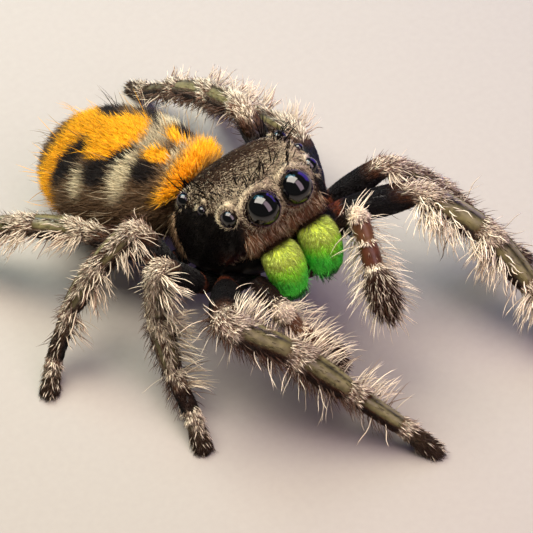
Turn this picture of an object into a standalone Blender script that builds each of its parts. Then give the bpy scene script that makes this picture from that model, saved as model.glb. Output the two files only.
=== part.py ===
"""A bold jumping spider at life size, alert on all eight feet, as a still museum model.

Metres, +Z up, floor at z = 0. The spider looks along -Y with its left side
towards +X, and the middle of its footprint is the origin. Most sizes are given
as fractions of the carapace length, as spiders are measured.
"""
import math
import random

import bmesh
import bpy
from mathutils import Matrix, Vector

MM = 0.001

# The scale of the whole animal, and the gaps that its pieces keep
CARAPACE_LENGTH = 5.0 * MM
JOINT_GAP = 0.20 * MM
EYE_GAP = 0.12 * MM
LOCK_CLEARANCE = 0.25 * MM
FLOOR_CLEARANCE = 0.15 * MM

# The head: looking up, slightly rolled, its front eyes 5.2 mm over the floor
HEAD_PITCH = 27.0
HEAD_ROLL = 5.0
EYE_HEIGHT = 1.04
WAIST_BACK = 0.95
WAIST_DOWN = 0.35
WAIST_RADIUS = 0.055

# The abdomen: swung to the right behind the waist, its rear end low
ABDOMEN_BEND = 24.0
ABDOMEN_PITCH = 13.0
ABDOMEN_CENTRE = (-0.265, 0.395, 0.095)
ABDOMEN_HALF = (0.375, 0.500, 0.325)

# Carapace stations: back, half width, top, bottom, squareness
CARAPACE_STATIONS = (
    (0.050, 0.215, 0.080, -0.165, 2.6),
    (0.075, 0.275, 0.108, -0.180, 2.8),
    (0.120, 0.315, 0.125, -0.195, 3.0),
    (0.200, 0.350, 0.138, -0.300, 3.1),
    (0.320, 0.385, 0.148, -0.320, 3.1),
    (0.450, 0.405, 0.142, -0.330, 3.0),
    (0.550, 0.412, 0.100, -0.335, 2.7),
    (0.660, 0.395, -0.005, -0.340, 2.4),
    (0.750, 0.345, -0.115, -0.340, 2.2),
    (0.840, 0.265, -0.210, -0.345, 2.1),
    (0.910, 0.165, -0.275, -0.350, 2.0),
)
CARAPACE_WIDEST_UP = -0.24
CARAPACE_SIDES = 26

# Eyes: name, sideways, back, up, radius, how far the eye is turned out
EYES = (
    ("eye_front", 0.105, 0.020, 0.000, 0.093, 0.0),
    ("eye_side", 0.262, 0.105, 0.012, 0.046, 28.0),
    ("eye_small", 0.318, 0.270, 0.045, 0.026, 70.0),
    ("eye_rear", 0.316, 0.450, 0.058, 0.042, 95.0),
)

EYE_SEGMENTS_LARGE = 16
EYE_SEGMENTS_SMALL = 9
SOCKET_SEGMENTS = 10

# Legs, by pair: hip place (sideways, back, up), thickness, and lengths of
# femur, patella, tibia, metatarsus and tarsus
LEG_PAIRS = {
    1: ((0.36, 0.26, -0.40), 1.00, (0.47, 0.410, 0.390, 0.335, 0.240)),
    2: ((0.42, 0.42, -0.41), 0.84, (0.39, 0.330, 0.300, 0.270, 0.200)),
    3: ((0.465, 0.58, -0.42), 0.84, (0.41, 0.280, 0.300, 0.290, 0.190)),
    4: ((0.38, 0.80, -0.40), 0.86, (0.49, 0.310, 0.370, 0.360, 0.200)),
}

# The pose: degrees of swing from straight ahead (to the spider's left) and of
# rise, for femur, patella and tibia, then the swing of metatarsus and tarsus.
# Those two fall as steeply as they need: first to the ankle, then to the floor.
LEG_POSES = {
    ("right", 1): ((-37, 25), (53, -33), (37, -32), 34, 34),
    ("right", 2): ((-98, 48), (-38, -78), (-12, -50), -12, -14),
    ("right", 3): ((-152, 50), (-88, -27), (-92, -52), -62, -45),
    ("right", 4): ((-138, 15), (-138, -4), (-138, -21), -138, -138),
    ("left", 1): ((65, 10), (32, -22), (14, -33), 14, 14),
    ("left", 2): ((68, 34), (60, -36), (50, -48), 44, 42),
    ("left", 3): ((158, 2), (-168, -9), (179, -22), 173, 173),
    ("left", 4): ((-178, 43), (179, -26), (-175, -32), -172, 177),
}
ANKLE_HEIGHT_SHARE = 0.58

# Leg segments: (place along it, radius) from root to tip
LEG_SEGMENTS = ("coxa", "femur", "patella", "tibia", "metatarsus", "tarsus")
SEGMENT_SHAPES = {
    "coxa": ((0.0, 0.060),),
    "femur": ((0.0, 0.062), (0.28, 0.084), (0.68, 0.088), (1.0, 0.070)),
    "patella": ((0.0, 0.068), (0.35, 0.086), (0.75, 0.084), (1.0, 0.074)),
    "tibia": ((0.0, 0.074), (0.30, 0.084), (0.70, 0.078), (1.0, 0.064)),
    "metatarsus": ((0.0, 0.060), (0.5, 0.058), (1.0, 0.054)),
    "tarsus": ((0.0, 0.054), (0.5, 0.053), (1.0, 0.050)),
}
LEG_SIDES = 8

# Hair locks on a leg segment: places along it, then the angles round it
# (0 is the upper side), the lean off the surface, length and root width
LEG_LOCKS = {
    "femur": ((0.42, 0.88), (-40, 40, 180), 42, 0.120, 0.095),
    "patella": ((0.16, 0.50, 0.86), (-112, 112, 172), 50, 0.180, 0.105),
    "tibia": ((0.22, 0.56, 0.88), (-112, 112, 172), 50, 0.170, 0.100),
    "metatarsus": ((0.15, 0.75), (-80, 80), 48, 0.110, 0.085),
    "tarsus": ((0.50,), (-75, 75), 38, 0.075, 0.070),
}

# Palps: hip place, thickness, lengths and pose of femur, patella, tibia, tarsus
PALP_HIP = (0.252, 0.10, -0.40)
PALP_LENGTHS = (0.25, 0.14, 0.14, 0.26)
PALP_POSES = {
    "left": ((25, 57), (-14, -34), (-15, -36), (-12, -37)),
    "right": ((-8, 8), (42, -54), (52, -55), (58, -56)),
}
PALP_SHAPES = (
    ((0.0, 0.052), (0.5, 0.058), (1.0, 0.054)),
    ((0.0, 0.054), (0.5, 0.062), (1.0, 0.056)),
    ((0.0, 0.056), (0.5, 0.062), (1.0, 0.058)),
    ((0.0, 0.060), (0.4, 0.074), (0.8, 0.064), (1.0, 0.040)),
)
PALP_LOCKS = ((0.15, 0.70), (-85, 85, 180), 45, 0.140, 0.085)

# Locks on the abdomen: angles along it, how many round it, lean, length, width
ABDOMEN_LOCKS = (
    (-38, 5, 32, 0.130, 0.110),
    (-12, 7, 32, 0.140, 0.115),
    (14, 7, 34, 0.150, 0.115),
    (38, 7, 38, 0.165, 0.110),
    (60, 6, 42, 0.180, 0.105),
)
ABDOMEN_LOCK_SPREAD = 125

# Tufts on the head: sideways, back, lean, length and width
HEAD_LOCKS = (
    (0.20, 0.15, 80, 0.175, 0.085),
    (0.07, 0.14, 76, 0.150, 0.085),
    (0.24, 0.30, 62, 0.150, 0.075),
    (0.25, 0.40, 58, 0.130, 0.075),
    (0.27, 0.55, 55, 0.130, 0.080),
    (0.12, 0.22, 40, 0.080, 0.070),
)

# Locks, as flat tapered strands: share of the length, of the root width
LOCK_STATIONS = ((0.0, 1.0), (0.40, 0.88), (0.74, 0.52), (1.0, 0.0))
LOCK_THICKNESS_SHARE = 0.68
LOCK_SUNK = 0.045
LOCK_SEED = 11

UNION_SOLVER = "EXACT"

COLOURS = {
    "carapace": ((0.030, 0.022, 0.018), 0.45, 0.0),
    "abdomen": ((0.075, 0.052, 0.036), 0.80, 0.0),
    "leg": ((0.085, 0.060, 0.045), 0.60, 0.0),
    "chelicera": ((0.030, 0.420, 0.080), 0.25, 0.6),
    "eye": ((0.004, 0.004, 0.006), 0.05, 0.0),
    "underside": ((0.040, 0.028, 0.022), 0.60, 0.0),
}


def direction(swing, rise):
    """Unit vector at a swing to the left of straight ahead and a rise, in degrees."""
    swing, rise = math.radians(swing), math.radians(rise)
    return Vector((math.sin(swing) * math.cos(rise), -math.cos(swing) * math.cos(rise), math.sin(rise)))


def head_axes():
    """The head's left, back and up directions after pitch and roll."""
    forward = direction(0.0, HEAD_PITCH)
    level_left = Vector((1.0, 0.0, 0.0))
    level_up = forward.cross(level_left)
    roll = math.radians(HEAD_ROLL)
    left = level_left * math.cos(roll) + level_up * math.sin(roll)
    up = level_up * math.cos(roll) - level_left * math.sin(roll)
    return left, -forward, up


LEFT, BACK, UP = head_axes()
WAIST_FROM_EYES = (BACK * WAIST_BACK - UP * WAIST_DOWN) * CARAPACE_LENGTH
EYES_POINT = Vector((-WAIST_FROM_EYES.x, -WAIST_FROM_EYES.y, EYE_HEIGHT * CARAPACE_LENGTH))


def head_point(left, back, up):
    """World point from fractions of the carapace length in the head's own axes."""
    return EYES_POINT + (LEFT * left + BACK * back + UP * up) * CARAPACE_LENGTH


def remove_old_objects():
    """Empty the scene before the model is built."""
    for item in list(bpy.data.objects):
        bpy.data.objects.remove(item, do_unlink=True)


def new_collection(name):
    """Add a collection to the scene."""
    group = bpy.data.collections.new(name)
    bpy.context.scene.collection.children.link(group)
    return group


def make_material(name):
    """A Principled material from the named finish in COLOURS."""
    colour, roughness, metallic = COLOURS[name]
    item = bpy.data.materials.new(name)
    item.use_nodes = True
    shader = item.node_tree.nodes["Principled BSDF"]
    shader.inputs["Base Color"].default_value = (*colour, 1.0)
    shader.inputs["Roughness"].default_value = roughness
    shader.inputs["Metallic"].default_value = metallic
    item.diffuse_color = (*colour, 1.0)
    return item


def add_mesh(name, vertices, faces, material, group):
    """A named mesh object with its faces turned outwards."""
    mesh = bpy.data.meshes.new(name)
    mesh.from_pydata([tuple(v) for v in vertices], [], faces)
    shape = bmesh.new()
    shape.from_mesh(mesh)
    bmesh.ops.recalc_face_normals(shape, faces=shape.faces)
    bmesh.ops.triangulate(shape, faces=shape.faces)
    shape.to_mesh(mesh)
    shape.free()
    item = bpy.data.objects.new(name, mesh)
    if material:
        mesh.materials.append(material)
    group.objects.link(item)
    return item


def loft(name, rings, material, group):
    """A closed skin over rings of equal count, each end closed to its middle."""
    count = len(rings[0])
    vertices = [point for ring in rings for point in ring]
    faces = []
    for row in range(len(rings) - 1):
        for k in range(count):
            a, b = row * count + k, row * count + (k + 1) % count
            faces.append((a, b, b + count, a + count))
    for row in (0, len(rings) - 1):
        middle = sum(rings[row], Vector()) / count
        vertices.append(middle)
        for k in range(count):
            faces.append((row * count + k, row * count + (k + 1) % count, len(vertices) - 1))
    return add_mesh(name, vertices, faces, material, group)


def ring_on_plane(centre, along, side, radius, sides, plane_point, plane_normal):
    """A ring round an axis, each point slid along the axis onto a plane."""
    lift = side.cross(along)
    ring = []
    for k in range(sides):
        angle = 2.0 * math.pi * k / sides
        point = centre + (side * math.sin(angle) + lift * math.cos(angle)) * radius
        slide = (plane_point - point).dot(plane_normal) / along.dot(plane_normal)
        ring.append(point + along * slide)
    return ring


class Limb:
    """A jointed limb: its joints and, for each segment, axis, side and profile."""

    def __init__(self, joints, shapes, thickness):
        self.joints = joints
        self.shapes = shapes
        self.thickness = thickness
        self.axes = [(b - a).normalized() for a, b in zip(joints, joints[1:])]
        side = self.axes[0].cross(Vector((0.0, 0.0, 1.0))).normalized()
        self.sides = [side]
        for before, after in zip(self.axes, self.axes[1:]):
            side = before.rotation_difference(after) @ side
            side = (side - after * side.dot(after)).normalized()
            self.sides.append(side)

    def radius(self, segment, share):
        """Radius at a share of a segment's length."""
        stations = self.shapes[segment]
        size = stations[-1][1]
        for (s0, r0), (s1, r1) in zip(stations, stations[1:]):
            if share <= s1:
                size = r0 + (r1 - r0) * (share - s0) / (s1 - s0)
                break
        return max(size * self.thickness * CARAPACE_LENGTH, 0.25 * MM)

    def joint_plane(self, index):
        """The plane that halves the bend at a joint."""
        if index == 0:
            return self.axes[0]
        if index >= len(self.axes):
            return self.axes[-1]
        return (self.axes[index - 1] + self.axes[index]).normalized()

    def rings(self, first, last, start_gap, end_gap, on_floor):
        """Rings from segment first to segment last, cut back at both ends."""
        rings = []
        for segment in range(first, last + 1):
            axis, side = self.axes[segment], self.sides[segment]
            start, end = self.joints[segment], self.joints[segment + 1]
            for share, _ in self.shapes[segment]:
                if share == 0.0 and segment > first:
                    continue
                centre = start.lerp(end, share)
                size = self.radius(segment, share)
                normal, point = axis, centre
                if share == 0.0:
                    normal = self.joint_plane(segment)
                    point = centre + normal * start_gap
                elif share == 1.0 and segment == last and on_floor:
                    normal = Vector((0.0, 0.0, -1.0))
                    point = Vector((0.0, 0.0, 0.0))
                elif share == 1.0:
                    normal = self.joint_plane(segment + 1)
                    point = centre - normal * (end_gap if segment == last else 0.0)
                rings.append(ring_on_plane(centre, axis, side, size, LEG_SIDES, point, normal))
        return rings

    def surface(self, segment, share, turn):
        """Point and outward direction on a segment, turned from its upper side."""
        axis, side = self.axes[segment], self.sides[segment]
        level = Vector((0.0, 0.0, 1.0)) - axis * axis.z
        if level.length > 0.2:
            side = axis.cross(level.normalized())
        lift = side.cross(axis)
        angle = math.radians(turn)
        outward = side * math.sin(angle) + lift * math.cos(angle)
        centre = self.joints[segment].lerp(self.joints[segment + 1], share)
        return centre + outward * self.radius(segment, share), outward


class Coat:
    """Hair locks that keep clear of the floor and of every other node."""

    def __init__(self):
        self.random = random.Random(LOCK_SEED)
        self.capsules = []

    def guard(self, node, start, end, radius):
        """Remember a stretch of a node that other nodes' locks keep off."""
        self.capsules.append((node, start, end, radius))

    def blocked(self, node, points):
        """Whether any point lies too near another node or the floor."""
        for point in points:
            if point.z < FLOOR_CLEARANCE:
                return True
            for owner, start, end, radius in self.capsules:
                if owner == node:
                    continue
                span = end - start
                share = max(0.0, min(1.0, (point - start).dot(span) / span.length_squared))
                if (point - start - span * share).length < radius + LOCK_CLEARANCE:
                    return True
        return False

    def path(self, root, outward, lie, lean, length):
        """Points along a lock that leaves at a lean and bends down to its lie."""
        points = [root - outward * LOCK_SUNK * CARAPACE_LENGTH]
        place, before = root, 0.0
        for share, _ in LOCK_STATIONS[1:]:
            tilt = math.radians(lean * (1.0 - 0.75 * before))
            place = place + (outward * math.sin(tilt) + lie * math.cos(tilt)) * (share - before) * length
            points.append(place.copy())
            before = share
        return points

    def lock(self, node, root, outward, lie, lean, length, width, group):
        """One flat tapered lock, shortened or left out where it has no room."""
        lie = (lie - outward * lie.dot(outward)).normalized()
        across = outward.cross(lie)
        lean += self.random.uniform(-7.0, 7.0)
        lie = (lie + across * self.random.uniform(-0.22, 0.22)).normalized()
        for share in (self.random.uniform(0.88, 1.12), 0.75, 0.55):
            points = self.path(root, outward, lie, lean, length * share * CARAPACE_LENGTH)
            if not self.blocked(node, points[1:]):
                break
        else:
            return None
        half = 0.5 * width * CARAPACE_LENGTH
        self.guard(node, root, points[1], half * 0.9)
        self.guard(node, points[1], points[-1], half * 0.7)
        rings = []
        for point, ahead, (_, size) in zip(points, points[1:], LOCK_STATIONS):
            axis = (ahead - point).normalized()
            wide = across.cross(axis).cross(axis).normalized()
            flat = wide.cross(axis)
            rings.append([
                point + wide * half * size,
                point + flat * half * size * LOCK_THICKNESS_SHARE,
                point - wide * half * size,
                point - flat * half * size * LOCK_THICKNESS_SHARE,
            ])
        tip = points[-1]
        vertices = [p for ring in rings for p in ring] + [tip]
        faces = [(3, 2, 1, 0)]
        for row in range(len(rings) - 1):
            for k in range(4):
                a, b = 4 * row + k, 4 * row + (k + 1) % 4
                faces.append((a, b, b + 4, a + 4))
        last = 4 * (len(rings) - 1)
        faces += [(last + k, last + (k + 1) % 4, len(vertices) - 1) for k in range(4)]
        return add_mesh("lock", vertices, faces, None, group)


def keep_largest_surface(item):
    """Drop every closed surface of a mesh but the one with the most faces."""
    shape = bmesh.new()
    shape.from_mesh(item.data)
    unseen = set(shape.faces)
    islands = []
    while unseen:
        island, queue = set(), [unseen.pop()]
        while queue:
            face = queue.pop()
            island.add(face)
            for edge in face.edges:
                for other in edge.link_faces:
                    if other in unseen:
                        unseen.remove(other)
                        queue.append(other)
        islands.append(island)
    islands.sort(key=len, reverse=True)
    spare = [face for island in islands[1:] for face in island]
    bmesh.ops.delete(shape, geom=spare, context="FACES")
    bmesh.ops.triangulate(shape, faces=shape.faces)
    shape.to_mesh(item.data)
    shape.free()


def apply_boolean(item, operation, cutters, solver):
    """Join or cut an object with a collection of closed meshes, then remove them."""
    if not cutters.objects:
        return
    change = item.modifiers.new("combine", "BOOLEAN")
    change.operation = operation
    change.operand_type = "COLLECTION"
    change.collection = cutters
    change.solver = solver
    bpy.context.view_layer.objects.active = item
    bpy.ops.object.modifier_apply(modifier=change.name)
    for cutter in list(cutters.objects):
        bpy.data.objects.remove(cutter, do_unlink=True)
    keep_largest_surface(item)


def superellipse_ring(half_width, top, bottom, middle, squareness, sides):
    """Offsets (sideways, up) of a rounded-square ring about its widest level."""
    ring = []
    for k in range(sides):
        angle = 2.0 * math.pi * k / sides
        s, c = math.sin(angle), math.cos(angle)
        reach = (top - middle) if c > 0.0 else (middle - bottom)
        x = math.copysign(abs(s) ** (2.0 / squareness), s) * half_width
        z = middle + math.copysign(abs(c) ** (2.0 / squareness), c) * reach
        ring.append((x, z))
    return ring


def eye_place(spec, sign):
    """Centre and outward axis of an eye on one side of the head."""
    _, sideways, back, up, _, turn = spec
    axis = LEFT * (sign * math.sin(math.radians(turn))) - BACK * math.cos(math.radians(turn))
    return head_point(sign * sideways, back, up), axis


def ball(name, centre, radius, segments, material, group):
    """A sphere with its poles fore and aft."""
    bpy.ops.mesh.primitive_uv_sphere_add(segments=segments, ring_count=segments * 5 // 8, radius=radius)
    item = bpy.context.active_object
    item.name = name
    item.data.name = name
    turn = Matrix((LEFT, -UP, BACK)).transposed().to_4x4()
    item.data.transform(Matrix.Translation(centre) @ turn)
    for owner in list(item.users_collection):
        owner.objects.unlink(item)
    if material:
        item.data.materials.append(material)
    group.objects.link(item)
    return item


def build_carapace(materials, group, cutters):
    """The carapace, with a socket for each eye and a hollow for the abdomen."""
    rings = []
    for back, half_width, top, bottom, squareness in CARAPACE_STATIONS:
        middle = min(max(CARAPACE_WIDEST_UP, bottom + 0.05), top - 0.04)
        offsets = superellipse_ring(half_width, top, bottom, middle, squareness, CARAPACE_SIDES)
        rings.append([head_point(x, back, z) for x, z in offsets])
    item = loft("carapace", rings, materials["carapace"], group)
    for spec in EYES:
        for sign in (1.0, -1.0):
            centre, _ = eye_place(spec, sign)
            radius = spec[4] * CARAPACE_LENGTH + EYE_GAP
            ball("socket", centre, radius, SOCKET_SEGMENTS, None, cutters)
    build_abdomen("nest", JOINT_GAP, None, cutters)
    apply_boolean(item, "DIFFERENCE", cutters, UNION_SOLVER)
    return item


def build_eyes(materials, group):
    """Eight eyes: each a ball seated in its socket."""
    for spec in EYES:
        for sign, side in ((1.0, "left"), (-1.0, "right")):
            centre, _ = eye_place(spec, sign)
            segments = EYE_SEGMENTS_LARGE if spec[4] > 0.06 else EYE_SEGMENTS_SMALL
            ball(f"{spec[0]}_{side}", centre, spec[4] * CARAPACE_LENGTH, segments, materials["eye"], group)


def build_chelicerae(materials, group):
    """The two bulging chelicerae, side by side under the face."""
    stations = (
        (0.035, -0.210, 0.050, 0.040),
        (0.020, -0.225, 0.082, 0.080),
        (0.000, -0.270, 0.100, 0.104),
        (-0.002, -0.350, 0.104, 0.110),
        (0.012, -0.430, 0.096, 0.096),
        (0.030, -0.500, 0.080, 0.078),
        (0.040, -0.540, 0.052, 0.052),
    )
    for sign, side in ((1.0, "left"), (-1.0, "right")):
        rings = []
        for back, up, wide, deep in stations:
            centre = head_point(sign * 0.118, back, up)
            rings.append([
                centre + (LEFT * math.sin(a) * wide + BACK * math.cos(a) * deep) * CARAPACE_LENGTH
                for a in (2.0 * math.pi * k / 12 for k in range(12))
            ])
        loft(f"chelicera_{side}", rings, materials["chelicera"], group)


def build_sternum(materials, group):
    """The plate under the head, with the lip and mouth plates ahead of it."""
    stations = (
        (0.180, 0.050, 0.040),
        (0.200, 0.085, 0.052),
        (0.300, 0.100, 0.056),
        (0.480, 0.150, 0.060),
        (0.640, 0.140, 0.058),
        (0.760, 0.090, 0.050),
        (0.800, 0.045, 0.036),
    )
    rings = []
    for back, half_width, half_height in stations:
        ring = []
        for k in range(12):
            angle = 2.0 * math.pi * k / 12
            x, z = half_width * math.sin(angle), half_height * math.cos(angle)
            ring.append(head_point(x, back, -0.440 + z))
        rings.append(ring)
    loft("sternum", rings, materials["underside"], group)


def leg_limb(side, pair):
    """Joints of a leg, from its coxa's root to the foot on the floor."""
    sign = 1.0 if side == "left" else -1.0
    (sideways, back, up), thickness, lengths = LEG_PAIRS[pair]
    inner = max(sideways - 0.20, 0.0) + 0.02
    joints = [head_point(sign * inner, back, up - 0.035), head_point(sign * sideways, back, up)]
    pose = LEG_POSES[(side, pair)]
    for (swing, rise), length in zip(pose[:3], lengths):
        joints.append(joints[-1] + direction(swing, rise) * length * CARAPACE_LENGTH)
    ankle = ANKLE_HEIGHT_SHARE * lengths[4] * CARAPACE_LENGTH
    for swing, share, level in zip(pose[3:], lengths[3:], (ankle, 0.0)):
        length = share * CARAPACE_LENGTH
        fall = math.degrees(math.asin((joints[-1].z - level) / length))
        joints.append(joints[-1] + direction(swing, -fall) * length)
    return Limb(joints, [SEGMENT_SHAPES[name] for name in LEG_SEGMENTS], thickness)


def palp_limb(side):
    """Joints of a palp, from beside the jaws to its blunt tip."""
    sign = 1.0 if side == "left" else -1.0
    joints = [head_point(sign * PALP_HIP[0], PALP_HIP[1], PALP_HIP[2])]
    for (swing, rise), length in zip(PALP_POSES[side], PALP_LENGTHS):
        joints.append(joints[-1] + direction(swing, rise) * length * CARAPACE_LENGTH)
    return Limb(joints, PALP_SHAPES, 1.0)


def abdomen_axes():
    """Centre of the abdomen and its left, back and up directions."""
    forward = direction(ABDOMEN_BEND, ABDOMEN_PITCH)
    left = Vector((math.cos(math.radians(ABDOMEN_BEND)), math.sin(math.radians(ABDOMEN_BEND)), 0.0))
    waist = head_point(0.0, WAIST_BACK, -WAIST_DOWN)
    centre = waist + Vector(ABDOMEN_CENTRE) * CARAPACE_LENGTH
    return centre, left, -forward, forward.cross(left)


def abdomen_point(across, along, margin=0.0):
    """Point on the abdomen, or a margin off it, and its outward direction.

    across turns round the body from its top to the spider's left, and along
    runs from -90 at the front end to 90 at the spinnerets, both in degrees.
    """
    centre, left, back, up = abdomen_axes()
    a, b = math.radians(across), math.radians(along)
    x, y, z = math.sin(a) * math.cos(b), math.sin(b), math.cos(a) * math.cos(b)
    fullness = 1.0 + 0.05 * math.sin(b)
    wide, long, high = ABDOMEN_HALF
    offset = (left * x * wide + up * z * high) * fullness + back * y * long
    normal = (left * x / wide + up * z / high + back * y / long).normalized()
    return centre + offset * CARAPACE_LENGTH + normal * margin, normal


def build_abdomen(name, margin, material, group):
    """The egg of the abdomen, or a cutter of its shape with a margin round it."""
    rings = []
    for along in (-84, -72, -57, -40, -20, 0, 20, 40, 57, 72, 84):
        rings.append([abdomen_point(360.0 * k / 18, along, margin)[0] for k in range(18)])
    return loft(name, rings, material, group)


def abdomen_edge(point):
    """Where a line from a point to the abdomen's centre meets its surface."""
    centre, left, back, up = abdomen_axes()
    offset = (point - centre) / CARAPACE_LENGTH
    reach = Vector((offset.dot(left), offset.dot(back), offset.dot(up)))
    scaled = [r / half for r, half in zip(reach, ABDOMEN_HALF)]
    return centre + (point - centre) / Vector(scaled).length


def build_waist(materials, group):
    """The short stalk between carapace and abdomen."""
    start = head_point(0.0, 0.91, -0.325) + BACK * JOINT_GAP
    edge = abdomen_edge(start)
    axis = (edge - start).normalized()
    end = edge - axis * JOINT_GAP
    side = axis.cross(Vector((0.0, 0.0, 1.0))).normalized()
    rings = [
        ring_on_plane(p, axis, side, WAIST_RADIUS * CARAPACE_LENGTH, 8, p, axis)
        for p in (start, start.lerp(end, 0.5), end)
    ]
    loft("waist", rings, materials["underside"], group)


def build_spinnerets(materials, group):
    """The short blunt cluster at the abdomen's rear end."""
    tip, normal = abdomen_point(180.0, 74.0)
    start = tip + normal * JOINT_GAP
    side = normal.cross(Vector((0.0, 0.0, 1.0))).normalized()
    rings = []
    for reach, radius in ((0.0, 0.070), (0.05, 0.066), (0.10, 0.050), (0.13, 0.034)):
        place = start + normal * reach * CARAPACE_LENGTH
        rings.append(ring_on_plane(place, normal, side, radius * CARAPACE_LENGTH, 8, place, normal))
    loft("spinnerets", rings, materials["underside"], group)


def guard_bodies(coat, limbs):
    """Tell the coat where every node is, so that locks keep off them."""
    for name, limb, first, last in limbs:
        for segment in range(first, last + 1):
            size = max(limb.radius(segment, share) for share, _ in limb.shapes[segment])
            coat.guard(name, limb.joints[segment], limb.joints[segment + 1], size)
    scale = CARAPACE_LENGTH
    coat.guard("carapace", head_point(0.0, 0.30, -0.12), head_point(0.0, 0.62, -0.16), 0.30 * scale)
    centre, _, back, _ = abdomen_axes()
    reach = back * (ABDOMEN_HALF[1] - ABDOMEN_HALF[2]) * scale
    coat.guard("abdomen", centre - reach, centre + reach, ABDOMEN_HALF[2] * scale)
    for sign, side in ((1.0, "left"), (-1.0, "right")):
        top = head_point(sign * 0.118, 0.0, -0.26)
        foot = head_point(sign * 0.118, 0.02, -0.46)
        coat.guard(f"chelicera_{side}", top, foot, 0.10 * scale)
    for spec in EYES:
        for sign, side in ((1.0, "left"), (-1.0, "right")):
            place, axis = eye_place(spec, sign)
            coat.guard(f"{spec[0]}_{side}", place, place + axis * 0.01 * scale, spec[4] * scale)


def add_limb_locks(coat, name, limb, first, last, plans, group):
    """Rows of locks on some segments of a limb, slanting towards its tip."""
    for segment in range(first, last + 1):
        plan = plans[segment]
        if plan is None:
            continue
        places, turns, lean, length, width = plan
        for step, share in enumerate(places):
            for turn in turns:
                stagger = coat.random.uniform(-0.05, 0.05)
                place = min(max(share + stagger, 0.06), 0.96)
                root, outward = limb.surface(segment, place, turn + coat.random.uniform(-14.0, 14.0))
                coat.lock(name, root, outward, limb.axes[segment], lean, length, width, group)


def add_abdomen_locks(coat, group):
    """The abdomen's coat: locks that slant towards its rear end."""
    _, _, back, _ = abdomen_axes()
    for row, (along, count, lean, length, width) in enumerate(ABDOMEN_LOCKS):
        for k in range(count):
            across = ABDOMEN_LOCK_SPREAD * (2.0 * (k + 0.5) / count - 1.0)
            across += coat.random.uniform(-5.0, 5.0)
            root, outward = abdomen_point(across, along + coat.random.uniform(-4.0, 4.0))
            coat.lock("abdomen", root, outward, back, lean, length, width, group)


def add_head_locks(coat, item, group):
    """Tufts on the head, each set on the carapace's own surface."""
    for sideways, back, lean, length, width in HEAD_LOCKS:
        for sign in (1.0, -1.0):
            above = head_point(sign * sideways, back, 0.4)
            hit, root, outward, _ = item.ray_cast(above, -UP)
            if hit:
                coat.lock("carapace", root, outward, BACK, lean, length, width, group)


def centre_on_floor(group):
    """Move all nodes level so that the middle of their footprint is the origin."""
    points = [vertex.co for item in group.objects for vertex in item.data.vertices]
    middle_x = (min(point.x for point in points) + max(point.x for point in points)) * 0.5
    middle_y = (min(point.y for point in points) + max(point.y for point in points)) * 0.5
    for item in group.objects:
        item.data.transform(Matrix.Translation((-middle_x, -middle_y, 0.0)))


def main():
    """Build every node of the spider, then join its locks to it."""
    remove_old_objects()
    body = new_collection("bold_jumping_spider")
    cutters = new_collection("cutters")
    cutters.hide_render = True
    locks = new_collection("locks")
    materials = {name: make_material(name) for name in COLOURS}

    carapace = build_carapace(materials, body, cutters)
    build_eyes(materials, body)
    build_chelicerae(materials, body)
    build_sternum(materials, body)
    abdomen = build_abdomen("abdomen", 0.0, materials["abdomen"], body)
    build_waist(materials, body)
    build_spinnerets(materials, body)

    limbs = []
    for side, pair in LEG_POSES:
        limb = leg_limb(side, pair)
        for part, first, last in (("femur", 0, 1), ("tibia", 2, 3), ("foot", 4, 5)):
            limbs.append((f"leg_{side}_{pair}_{part}", limb, first, last))
    for side in PALP_POSES:
        limb = palp_limb(side)
        limbs.append((f"palp_{side}_femur", limb, 0, 0))
        limbs.append((f"palp_{side}_tip", limb, 1, 3))

    coat = Coat()
    guard_bodies(coat, limbs)
    leg_plans = [LEG_LOCKS.get(name) for name in LEG_SEGMENTS]
    for name, limb, first, last in limbs:
        half = JOINT_GAP * 0.5
        is_leg = name.startswith("leg")
        ends = (half if first else 0.0, 0.0 if name.endswith("tip") else half)
        rings = limb.rings(first, last, *ends, on_floor=name.endswith("foot"))
        item = loft(name, rings, materials["leg"], body)
        plans = leg_plans if is_leg else [None, PALP_LOCKS, PALP_LOCKS, PALP_LOCKS]
        add_limb_locks(coat, name, limb, first, last, plans, locks)
        apply_boolean(item, "UNION", locks, UNION_SOLVER)
    add_abdomen_locks(coat, locks)
    apply_boolean(abdomen, "UNION", locks, UNION_SOLVER)
    add_head_locks(coat, carapace, locks)
    apply_boolean(carapace, "UNION", locks, UNION_SOLVER)
    for group in (cutters, locks):
        bpy.data.collections.remove(group)
    centre_on_floor(body)


main()
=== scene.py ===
"""The looks of a life-size bold jumping spider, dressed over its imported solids.

One skin replaces the solids of flesh, and solid hair stands on it: short fur,
fringes, tufts and bristles, each hair a tapered strand of its own. Skin and
hair share their markings, which are worked out from places on the body. Most
sizes are fractions of the carapace's length.
"""
import logging
import math
from collections.abc import Callable, Sequence
from dataclasses import dataclass, field
from enum import Enum
from functools import partial

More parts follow.
